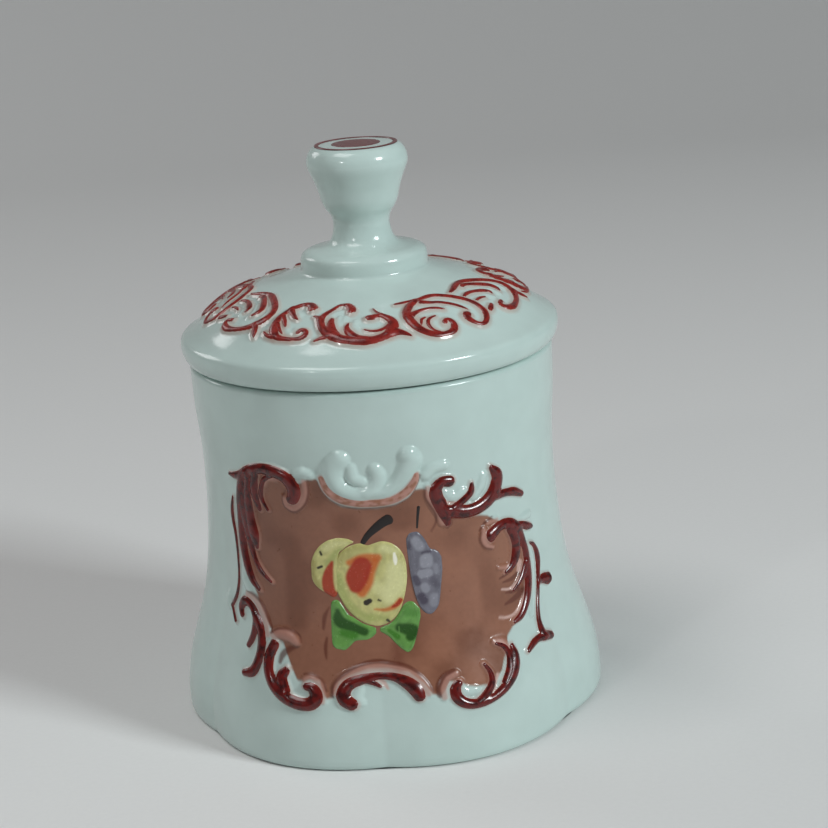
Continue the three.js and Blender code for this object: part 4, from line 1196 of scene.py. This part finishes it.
    grapes: PaintedShape = PaintedShape(
        "grapes", "enamel_grape",
        ((3.7, 50.2, 52), (4.3, 41.6, 53.1), (5.2, 36.8, 53.5), (6.4, 34.6, 53.3), (7.6, 34, 51.6), (8.6, 34.6, 49.3),
         (9.6, 36.2, 48.7), (10.4, 40.4, 48), (11, 44.2, 46.6)),
        Tone.GRAPE, (
            Dab(((4.4, 51.2, 0.9), (4.2, 50, 1)), Tone.GRAPE_DARK, 0.7, 0.8),
            Dab(((5.6, 51.4, 2), (6.4, 50, 2.2)), Tone.GRAPE_LIGHT, 0.7, 0.9),
            Dab(((7, 48.4, 0.8), (8.4, 48.5, 0.8)), Tone.GRAPE_DARK, 0.75, 0.5),
            Dab(((7.6, 46.8, 2.8), (7.6, 46, 2.8)), Tone.GRAPE_LIGHT, 0.75, 0.7),
            Dab(((6.4, 43.6, 2), (7.8, 43.6, 2)), Tone.GRAPE_LIGHT, 0.7, 0.6),
            Dab(((6.2, 44.7, 0.3), (7.8, 44.8, 0.3)), Tone.GRAPE_DARK, 0.4, 0.3),
            Dab(((5, 42.8, 1.4), (5.4, 41.6, 1.4)), Tone.GRAPE_DARK, 0.75, 0.7),
            Dab(((8.6, 42, 1.4), (9.4, 40.6, 1.4)), Tone.GRAPE_DARK, 0.45, 1),
            Dab(((6.8, 40.6, 1.8), (7, 40, 1.8)), Tone.GRAPE_LIGHT, 0.6, 0.6),
            Dab(((5.9, 38.4, 1.8), (6.4, 37.4, 1.8)), Tone.GRAPE_DARK, 0.85, 0.8),
            Dab(((8.6, 38, 1.8), (8.4, 36.6, 1.8)), Tone.GRAPE_LIGHT, 0.5, 0.9),
            Dab(((9.4, 45, 1.2), (9.6, 43.6, 1.2)), Tone.GRAPE_LIGHT, 0.45, 0.9),
        ), thick=0.34, grain=7)


FRUIT_STEM: Line = ((-5.5, 51.7, 1.1), (-4.3, 53.4, 1.4), (-2.5, 55.1, 1.8), (-0.8, 56.4, 2.1), (0.4, 57, 2.4))
GRAPE_STEM: Line = ((6.8, 59.2, 0.7), (6.5, 57, 0.55), (6.2, 54.3, 0.4))


# ------------------------------------------------------------------- the glass

@dataclass
class JarGlass:
    """The jar body: lobed wall, moulded cartouche, mouth, inside and foot."""

    wall: WallShape = field(default_factory=WallShape)
    wall_thick: float = 3.6
    floor: float = 6.0
    recess: float = 1.6
    ring_r: float = 41.0
    steps: int = 288
    row_gap: float = 0.84
    relief_step: float = 0.14
    moulded: tuple[float, float, float] = (45.0, 9.0, 74.0)
    skin: float = 2.0           # within which a point counts as on the outside
    bend: float = 6.0           # radius between the inside wall and its floor
    inside_rows: int = 26
    foot_ring: Line = ((-0.9, 1), (0, 0), (3.6, 0))
    heel: Line = ((-1.6, 0), (-0.9, 0.12), (-0.35, 0.5), (-0.08, 1.2))
    lip_outside: Line = ((0, -1.1), (-0.1, -0.6), (-0.4, -0.2), (-0.9, 0))
    lip_inside: Line = ((0.7, 0), (0.2, -0.2), (0, -0.7))
    ridges: tuple[Ridges, ...] = (
        Ridges(SHELL, 1.25, 0.9), Ridges(GLASS_RIDGES, 0.9, 0.7), Ridges(ROSE_RIDGES, 0.75, 0.5),
        Ridges(SCROLL_STROKES, 0.95, 0.45))
    washes: tuple[Washes, ...] = (
        # painted shade in the front groove
        Washes((GROOVE_SHADE,), Tone.POOLED, 0.5, 2.4),
        Washes(SCROLL_STROKES, Tone.ROSE, 0.55, 0.9, 0.25),
        Washes(ROSE_RIDGES, Tone.ROSE, 0.7, 0.7),
        Washes(SHELL, Tone.GLASS, 0.96, 0.9, 0.5),
        # dark lines of pooled enamel and painted shade, then painted highlights along the crests
        Washes(POOLED_AND_SHADE_LINES, Tone.POOLED, 0.75, 0.35, step=FINE_SAMPLE),
        Washes(CREST_HIGHLIGHTS, Tone.ROSE_PALE, 0.85, 0.3, step=FINE_SAMPLE))
    surface: Surface = field(init=False)

    def mould(self) -> None:
        """Raises the ridges of the cartouche and washes the colours round them."""
        half, low, high = self.moulded
        relief = ReliefMap((-half, low), (half, high), self.relief_step, Tone.GLASS)
        self.surface = Surface(self.wall, relief)
        for ridges in self.ridges:
            for rows in ridges.lines:
                relief.swell(through(rows, SAMPLE), ridges.rise, ridges.spread)
        self.wash()

    def wash(self) -> None:
        """Lays the brown panel, painted lighter on its lamp side, the rose halos, the crests' painted highlights, and
        the pooled enamel and painted shade lines.
        """
        relief = self.surface.relief
        cover = relief.wash(GROUND, Tone.GROUND, 0.97, 0.9)
        shape = relief.height.shape
        # Lighter rose towards the right: the wash's own uneven tone, and painted light on the side the key lamp falls
        # on.
        across = step_between(-24, 26, relief.u)[None, :]
        rose_and_lit_side = np.clip(0.15 + 0.6 * across + 0.5 * (cloud(shape, 60, 3) - 0.5), 0, 0.8)
        relief.blend(Tone.GROUND_ROSE, cover * rose_and_lit_side)
        relief.blend(Tone.GROUND_DEEP, cover * 0.5 * step_between(0.45, 0.9, cloud(shape, 48, 7)))
        for wash in self.washes:
            for rows in wash.lines:
                relief.tint(through(rows, wash.step), wash.colour, wash.strength, wash.soft, wash.reach)

    def section(self) -> np.ndarray:
        """Half section from the underside's axis to the inside floor's axis."""
        crest, height = self.wall.crest, self.wall.height
        outside = np.arange(2.2, height - 1.2, self.row_gap)
        inside = np.linspace(height - 3, self.floor + 8, self.inside_rows)
        groove = self.wall.groove_at(np.full(self.inside_rows, self.wall.turn), inside)
        inner = crest(inside) - groove - self.wall_thick
        rim, foot = float(crest(height)), float(crest(0.0))
        mouth, floor_r = rim - self.wall_thick, inner[-1]
        corner = np.radians(np.linspace(0, 90, 7))
        rows = [(r, self.recess) for r in (0, 14, 28, self.ring_r - 2.4)]
        rows += [(self.ring_r + out, z) for out, z in self.foot_ring]
        rows += [(foot + out, z) for out, z in self.heel]
        rows += [(float(crest(z)), z) for z in outside]
        rows += [(rim + out, height + up) for out, up in self.lip_outside]
        rows += [(mouth + out, height + up) for out, up in self.lip_inside]
        rows += list(zip(inner, inside))
        rows += [(floor_r - self.bend * (1 - math.cos(a)), self.floor + self.bend * (1 - math.sin(a)))
                 for a in corner]
        rows += [(floor_r * 0.6, self.floor), (floor_r * 0.3, self.floor), (0, self.floor)]
        return np.array(rows, float)

    def refine_front(self, piece: bpy.types.Object) -> None:
        """Cuts the faces under the cartouche finer, so that the ridges come out crisp."""
        half, low, high = self.moulded
        select_only(piece)
        for face in piece.data.polygons:
            x, y, z = (c / MM for c in face.center)
            s = math.atan2(x, -y) * WRAP_R
            face.select = abs(s) < half - 1.5 and low < z < high and math.hypot(x, y) > self.wall.neck_r - self.skin
        bpy.ops.object.mode_set(mode="EDIT")
        bpy.ops.mesh.select_mode(type="FACE")
        bpy.ops.mesh.subdivide(number_cuts=2)
        bpy.ops.object.mode_set(mode="OBJECT")

    def build(self, glass: bpy.types.Material) -> bpy.types.Object:
        """Builds the jar.

        Args:
            glass: The glass finish.

        Returns:
            The jar body.
        """
        self.mould()
        piece = spun("jar_glass", self.section(), self.wall.turn, self.steps)
        self.refine_front(piece)
        places = places_of(piece) / MM
        r = np.hypot(places[:, 0], places[:, 1])
        theta = np.arctan2(places[:, 0], -places[:, 1])
        z = places[:, 2]
        outer = r > self.wall.crest(z) - self.skin
        half, low, high = self.moulded
        s, drawn = self.wall.unwrapped(theta, z)
        height, colour = self.surface.relief.read(s, drawn)
        front = outer & (np.abs(s) < half) & (drawn > low) & (drawn < high)
        lift = np.where(front, height, 0) - self.wall.groove_at(theta, z)
        flush = outer & (z > 1.9) & (z < self.wall.height - 1.3)
        size = np.where(flush, self.wall.crest(z), r) + np.where(outer, lift, 0)
        places[:, 0], places[:, 1] = size * np.sin(theta), -size * np.cos(theta)
        move_to(piece, places * MM)
        paint(piece, np.where(front[:, None], colour, tone(Tone.GLASS)))
        shade_smooth(piece, 60)
        return finish_piece(piece, glass, "jar", ("jar_body", "shell_crest"))


@dataclass
class Cartouche:
    """The red scrolls, the brown panel's rose band and the fruit inside it."""

    surface: Surface
    red: EnamelFinish = EnamelFinish("fired_dark_red_enamel", 0.2)
    rose: EnamelFinish = EnamelFinish("fired_rose_enamel_wash", 0.3, 1.2, 0.12, 0.01)
    colours: EnamelFinish = EnamelFinish("fired_fruit_enamels", 0.24, 0.7, 0.1, 0.015)
    ink: EnamelFinish = EnamelFinish("fired_black_brown_enamel", 0.3)
    red_brush: Brush = Brush(Tone.RED, Tone.RED_DEEP, Tone.RED_RUST, spread=1.25)
    rose_brush: Brush = Brush(Tone.ROSE, Tone.GROUND_ROSE, Tone.ROSE_PALE, 0.08)
    ink_brush: Brush = Brush(Tone.INK, Tone.INK, Tone.POOLED, 0.12, spread=1.35)
    fruit: FruitPalette = FruitPalette()

    def strokes(self, node: str, lines: tuple[Line, ...], brush: Brush, seed: int) -> bpy.types.Object:
        """Lays all strokes of one ornament and joins them.

        Args:
            node: CAD node of the ornament.
            lines: Its strokes.
            brush: Brush used.
            seed: Fixes the streaks.

        Returns:
            The ornament in one piece.
        """
        parts = [brush.strip(f"{node}_{i}", self.surface, rows, seed + i) for i, rows in enumerate(lines)]
        piece = join_pieces(node + "_enamel", parts)
        shade_smooth(piece)
        return piece

    def build(self) -> None:
        """Builds and dresses every painted piece of the cartouche."""
        red, rose, colours, ink = (finish.build() for finish in (self.red, self.rose, self.colours, self.ink))
        for order, (node, lines) in enumerate(SCROLLS.items()):
            piece = self.strokes(node, lines, self.red_brush, 100 * order)
            finish_piece(piece, red, "jar", (node,))
        self.panel(rose)
        for order, shape in enumerate((self.fruit.left, self.fruit.front, self.fruit.leaf_left,
                                       self.fruit.leaf_right, self.fruit.grapes)):
            piece = shape.build(self.surface, 40 + order)
            shade_smooth(piece)
            finish_piece(piece, colours, "jar", (shape.node,))
        for node, line in (("fruit_stem", FRUIT_STEM), ("grape_stem", GRAPE_STEM)):
            piece = self.strokes(node, (line,), self.ink_brush, 7)
            finish_piece(piece, ink, "jar", (node,))

    def panel(self, rose: bpy.types.Material) -> None:
        """Lays the brown wash as a thin skin that follows every ridge under it."""
        relief = self.surface.relief
        rows = np.array(GROUND, float)
        count, across = 300, 220
        piece = new_grid("ground_wash", count, across)
        flat = places_of(piece)
        t = (flat[:, 0] + 1) / 2
        u = rows[0, 0] + (rows[-1, 0] - rows[0, 0]) * t
        low, high = (np.interp(u, rows[:, 0], rows[:, k]) for k in (1, 2))
        v = low + (high - low) * (flat[:, 1] + 1) / 2
        _, colour = relief.read(u, v)
        edge = np.minimum(np.minimum(v - low, high - v), np.minimum(u - u.min(), u.max() - u))
        self.surface.lay(piece, u, v, -0.04 + 0.07 * np.clip(edge / 0.5, 0, 1))
        paint(piece, colour)
        shade_smooth(piece, 80)
        finish_piece(piece, rose, "jar", ("panel_ground",))
        band = self.strokes("shell_band", (ROSE_RIDGES[-1],), self.rose_brush, 61)
        finish_piece(band, rose, "jar", ("shell_band",))


@dataclass
class LidGlass:
    """The lid: hollow dome, locating flange, rolled rim, scroll band, collar and knob."""

    dome: DomeShape = field(default_factory=DomeShape)
    steps: int = 432
    band: tuple[float, float] = (21.5, 39.6)
    relief_step: float = 0.14
    slide: float = 3.5          # how far a motif slides back at the dome's band_r
    slide_fall: float = 0.25    # lost from slide by each millimetre outwards
    side_share: float = 0.6     # share of slide that grows towards a motif's sides
    repeats: int = 3
    stations: Line = ((43.4, 40, -0.4), (39.9, 21.6, -0.34), (21, 14.8, -0.8))
    under: Line = ((0, 99.8), (9, 99.8), (16, 99.6), (24, 97.4), (29.6, 95), (33, 92), (34.3, 88.6))
    flange: Line = ((34.3, 84), (34.3, 81.7), (34.6, 81), (35.2, 80.75), (36.8, 80.75), (37.4, 80.95), (37.65, 81.5),
                    (37.7, 83.5), (37.7, 85.7), (39.4, 85.7), (41, 85.7))
    rim: Line = ((41, 85.7), (42.2, 86), (43.1, 87), (43.6, 88.4), (43.75, 89.7), (43.6, 90.7))
    knob: Line = ((14.65, 104.5), (14.6, 106.6), (14.3, 107.9), (13.6, 108.5), (12.4, 108.95), (10.4, 109.3),
                  (8.6, 109.9), (7.4, 110.9), (6.8, 112.4), (6.45, 114.4), (6.6, 115.8), (7.1, 117), (8, 118.3),
                  (8.7, 119.8), (9.15, 121.5), (9.7, 123.4), (10.5, 125.5), (11.3, 127.4), (11.6, 128.6),
                  (11.5, 129.9), (11.1, 131), (10.5, 131.9), (9.9, 132.4), (9.2, 132.65))
    top: float = 132.7
    surface: Surface = field(init=False)

    def mould(self) -> None:
        """Raises the scroll band and washes rose round its painted strokes."""
        reach = math.pi * self.dome.band_r
        relief = ReliefMap((-reach, self.band[0] - 1), (reach, self.band[1] + 1), self.relief_step, Tone.GLASS)
        self.surface = Surface(self.dome, relief, -1)
        for _, _, lines in self.motifs():
            for rows in lines:
                line = through(rows, SAMPLE)
                relief.swell(line, 1.0, 0.5)
                relief.tint(line, Tone.BEIGE, 0.6, 0.8, 0.6)
        for turn in range(self.repeats):
            for rows in LID_RIDGES:
                relief.swell(through(self.turned(rows, turn), SAMPLE), 0.8, 0.4)

    def motifs(self) -> list[tuple[str, int, tuple[Line, ...]]]:
        """Every motif of the band: its letter, its turn and its strokes on the lid."""
        found = []
        for turn in range(self.repeats):
            for letter, strokes in LID_MOTIFS.items():
                found.append((letter, turn, tuple(self.turned(rows, turn) for rows in strokes)))
        return found

    def turned(self, rows: Line, turn: int) -> Line:
        """Turns a motif's stroke round the lid and gives it in band millimetres.

        On the sloping dome the drawing slides back, most at its inner edge and its sides.

        Args:
            rows: Degrees, radius and width along the stroke.
            turn: Which repeat of the motif it is, from 0.

        Returns:
            Distance round the lid, radius and width along the stroke.
        """
        degrees = 360 // self.repeats * turn
        shift = math.radians(degrees if degrees < 180 else degrees - 360)
        turned = []
        for a, r, width in rows:
            slant = math.radians(a)
            x, y = r * math.sin(slant), r * math.cos(slant)
            fallen = self.slide - self.slide_fall * (r - self.dome.band_r)
            y -= fallen * (1 - self.side_share + self.side_share / math.cos(slant))
            turned.append(((math.atan2(x, y) + shift) * self.dome.band_r, math.hypot(x, y), width))
        return tuple(turned)

    def section(self) -> np.ndarray:
        """Half section from the hollow's axis to the knob's axis."""
        line = self.dome.slope_line()
        radii = np.concatenate([np.arange(*station) for station in self.stations])
        dome = [(r, float(np.interp(r, line[:, 0], line[:, 1]))) for r in radii]
        rows = [*map(tuple, through(self.under, 1.6)), *self.flange, *map(tuple, through(self.rim, 0.5)[1:]), *dome,
                *map(tuple, through(self.knob, 0.55)), (7, self.top), (3.5, self.top), (0, self.top)]
        return np.array([row[:2] for row in rows], float)

    def build(self, glass: bpy.types.Material) -> bpy.types.Object:
        """Builds the lid.

        Args:
            glass: The glass finish.

        Returns:
            The lid.
        """
        self.mould()
        piece = spun("lid_glass", self.section(), 0.0, self.steps)
        places = places_of(piece) / MM
        r = np.hypot(places[:, 0], places[:, 1])
        theta = np.arctan2(places[:, 0], -places[:, 1])
        line = self.dome.slope_line()
        over = (r > self.band[0]) & (r < self.band[1]) & (
            np.abs(places[:, 2] - np.interp(r, line[:, 0], line[:, 1])) < 0.5)
        height, colour = self.surface.relief.read(theta * self.dome.band_r, r)
        moved = self.dome.place(theta * self.dome.band_r, r, height) / MM
        places[over] = moved[over]
        move_to(piece, places * MM)
        paint(piece, np.where(over[:, None], colour, tone(Tone.GLASS)))
        shade_smooth(piece, 60)
        return finish_piece(piece, glass, "lid", ("lid",))


@dataclass
class LidPainting:
    """The red strokes of the lid band, and the ring and disc on the knob."""

    lid: LidGlass
    finish: EnamelFinish = EnamelFinish("fired_rust_red_enamel", 0.28, 0.6, 0.3, 0.02)
    brush: Brush = Brush(Tone.LID_RED, Tone.RED, Tone.LID_RED_THIN, 0.14, -0.05, 8, 0.34, 1.22)
    ring: tuple[float, float] = (8.5, 9.5)
    disc: float = 5.6
    tuck: float = 0.03
    thick: float = 0.12
    steps: int = 96
    mottle: float = 0.45

    def build(self) -> None:
        """Builds and dresses the painted pieces of the lid."""
        red = self.finish.build()
        for order, (letter, turn, lines) in enumerate(self.lid.motifs()):
            node = f"lid_scroll_{letter}{turn + 1}"
            parts = [self.brush.strip(f"{node}_{i}", self.lid.surface, rows, 500 + 10 * order + i)
                     for i, rows in enumerate(lines)]
            piece = join_pieces(node + "_enamel", parts)
            shade_smooth(piece)
            finish_piece(piece, red, "lid", (node,))
        self.knob_top(red)

    def knob_top(self, red: bpy.types.Material) -> None:
        """Lays the ring and the disc on the flat of the knob."""
        low, high = self.lid.top - self.tuck, self.lid.top + self.thick
        inner, outer = self.ring
        bead = ((inner, low), (outer, low), (outer - 0.08, high - 0.03), ((inner + outer) / 2, high),
                (inner + 0.08, high - 0.03), (inner, low))
        disc = ((0, low), (self.disc, low), (self.disc - 0.1, high - 0.04), (self.disc * 0.7, high), (0, high))
        for node, rows in (("knob_ring", bead), ("knob_disc", disc)):
            piece = spun(node + "_enamel", np.array(rows, float), 0.0, self.steps)
            places = places_of(piece) / MM
            mottle = cloud((self.steps, self.steps), 9, 77)
            spot = (np.clip(places[:, :2] / 10, -1, 1) + 1) / 2 * (self.steps - 1)
            deep = self.mottle * mottle[spot[:, 1].astype(int), spot[:, 0].astype(int)][:, None]
            paint(piece, tone(Tone.KNOB_RED) * (1 - deep) + tone(Tone.RED_DEEP) * deep)
            shade_smooth(piece, 40)
            finish_piece(piece, red, "lid", (node,))


# ------------------------------------------------------------------ the studio

@dataclass(frozen=True)
class Softbox:
    """A soft studio lamp."""

    name: str
    place: tuple[float, float, float]
    width: float
    watts: float
    tint: str = "#ffffff"
    aim: tuple[float, float, float] = (0.0, 0.0, 0.06)

    def build(self) -> None:
        """Hangs the lamp and turns it to its aim."""
        deselect_all()
        bpy.ops.object.light_add(type="AREA", location=self.place)
        lamp = bpy.context.object
        lamp.name = self.name
        lamp.data.shape = "RECTANGLE"
        lamp.data.size = self.width
        lamp.data.size_y = self.width * 0.8
        lamp.data.energy = self.watts
        lamp.data.color = linear(self.tint)
        lamp.rotation_euler = (Vector(self.aim) - Vector(self.place)).to_track_quat("-Z", "Y").to_euler()


@dataclass(frozen=True)
class Studio:
    """Pale floor that sweeps up behind the jar, the lamps and the camera."""

    floor_tone: str = "#e2e2e1"
    sweep_r: float = 1.0
    sweep_y: float = 0.8
    sweep_degrees: float = 85.0
    sweep_steps: int = 36
    backdrop: float = 1.6       # how far it runs on, straight, past the sweep
    reach: float = 9.0
    fibre: float = 1.2
    fibre_contrast: float = 1.05
    floor_roughness: float = 0.9
    camera_place: tuple[float, float, float] = (0.0, -0.48, 0.2044)
    pitch: float = 15.86
    yaw: float = 1.07
    roll: float = -3.97
    lens: float = 92.3
    room: float = 0.15
    room_tone: str = "#ebe9ea"
    lamps: tuple[Softbox, ...] = (
        Softbox("key_softbox", (1.17, -0.82, 0.79), 0.36, 15.0, "#f4fdff"),
        Softbox("top_softbox", (-0.3, -0.2, 0.85), 0.45, 2.2),
        Softbox("back_softbox", (-1.1, 0.9, 0.8), 0.6, 2.8),
        Softbox("left_lamp", (-0.4, -0.54, 0.42), 0.05, 0.3),
    )

    def build(self) -> None:
        """Sets up floor, lamps, room light and camera."""
        self.sweep()
        for lamp in self.lamps:
            lamp.build()
        world = bpy.data.worlds.new("room")
        world.use_nodes = True
        world.node_tree.nodes["Background"].inputs["Color"].default_value = (*linear(self.room_tone), 1)
        world.node_tree.nodes["Background"].inputs["Strength"].default_value = self.room
        bpy.context.scene.world = world
        bpy.context.scene.view_settings.view_transform = "Standard"
        self.camera()

    def sweep(self) -> None:
        """Makes the floor and bends its back edge up into a backdrop."""
        deselect_all()
        bpy.ops.mesh.primitive_plane_add(size=self.reach, location=(0, self.sweep_y - self.reach / 2, 0))
        floor = bpy.context.object
        floor.name = "floor_sweep"
        bpy.ops.object.transform_apply(location=True, rotation=False, scale=False)
        for part in (floor.data.polygons, floor.data.edges, floor.data.vertices):
            for item in part:
                item.select = False
        for edge in floor.data.edges:
            edge.select = all(floor.data.vertices[i].co.y > self.sweep_y - 0.01 for i in edge.vertices)
        bpy.ops.object.mode_set(mode="EDIT")
        bpy.ops.mesh.select_mode(type="EDGE")
        steep = math.radians(self.sweep_degrees)
        bpy.ops.mesh.spin(steps=self.sweep_steps, angle=-steep, center=(0, self.sweep_y, self.sweep_r),
                          axis=(1, 0, 0))
        rise = Vector((0, math.cos(steep), math.sin(steep))) * self.backdrop
        bpy.ops.mesh.extrude_region_move(TRANSFORM_OT_translate={"value": rise})
        bpy.ops.object.mode_set(mode="OBJECT")
        shade_smooth(floor, 60)
        floor.data.materials.append(self.paper())

    def paper(self) -> bpy.types.Material:
        """Makes the floor's matt paper, faintly mottled by its fibres."""
        paper = bpy.data.materials.new("matt_backdrop_paper")
        paper.use_nodes = True
        tree = paper.node_tree
        shader = tree.nodes["Principled BSDF"]
        fibre = grain(tree, self.fibre)
        ramp = add_node(tree, "ShaderNodeMix", {"data_type": "RGBA"}, {"Factor": fibre.outputs["Fac"]})
        ramp.inputs[6].default_value = (*linear(self.floor_tone), 1)
        ramp.inputs[7].default_value = (*(c * self.fibre_contrast for c in linear(self.floor_tone)), 1)
        tree.links.new(ramp.outputs[2], shader.inputs["Base Color"])
        shader.inputs["Roughness"].default_value = self.floor_roughness
        return paper

    def camera(self) -> None:
        """Places the camera, looking a little down and tilted as it was held."""
        pitch, yaw, roll = (math.radians(a) for a in (self.pitch, self.yaw, self.roll))
        ahead = Vector((math.sin(yaw) * math.cos(pitch), math.cos(yaw) * math.cos(pitch), -math.sin(pitch)))
        level = Vector((math.cos(yaw), -math.sin(yaw), 0))
        upright = level.cross(ahead)
        right = level * math.cos(roll) + upright * math.sin(roll)
        up = upright * math.cos(roll) - level * math.sin(roll)
        lens = bpy.data.cameras.new("camera")
        lens.lens = self.lens
        lens.sensor_width = 36
        lens.clip_start = 0.01
        camera = bpy.data.objects.new("camera", lens)
        bpy.context.scene.collection.objects.link(camera)
        turn = Matrix((right, up, -ahead)).transposed().to_4x4()
        camera.matrix_world = Matrix.Translation(Vector(self.camera_place)) @ turn
        bpy.context.scene.camera = camera


def main() -> None:
    """Builds the studio, the glass and the painting, in that order."""
    logging.basicConfig(level=logging.INFO, format="%(message)s")
    Studio().build()
    glass = GlassFinish().build()
    jar = JarGlass()
    jar.build(glass)
    Cartouche(jar.surface).build()
    lid = LidGlass()
    lid.build(glass)
    LidPainting(lid).build()


if __name__ == "__main__":
    main()
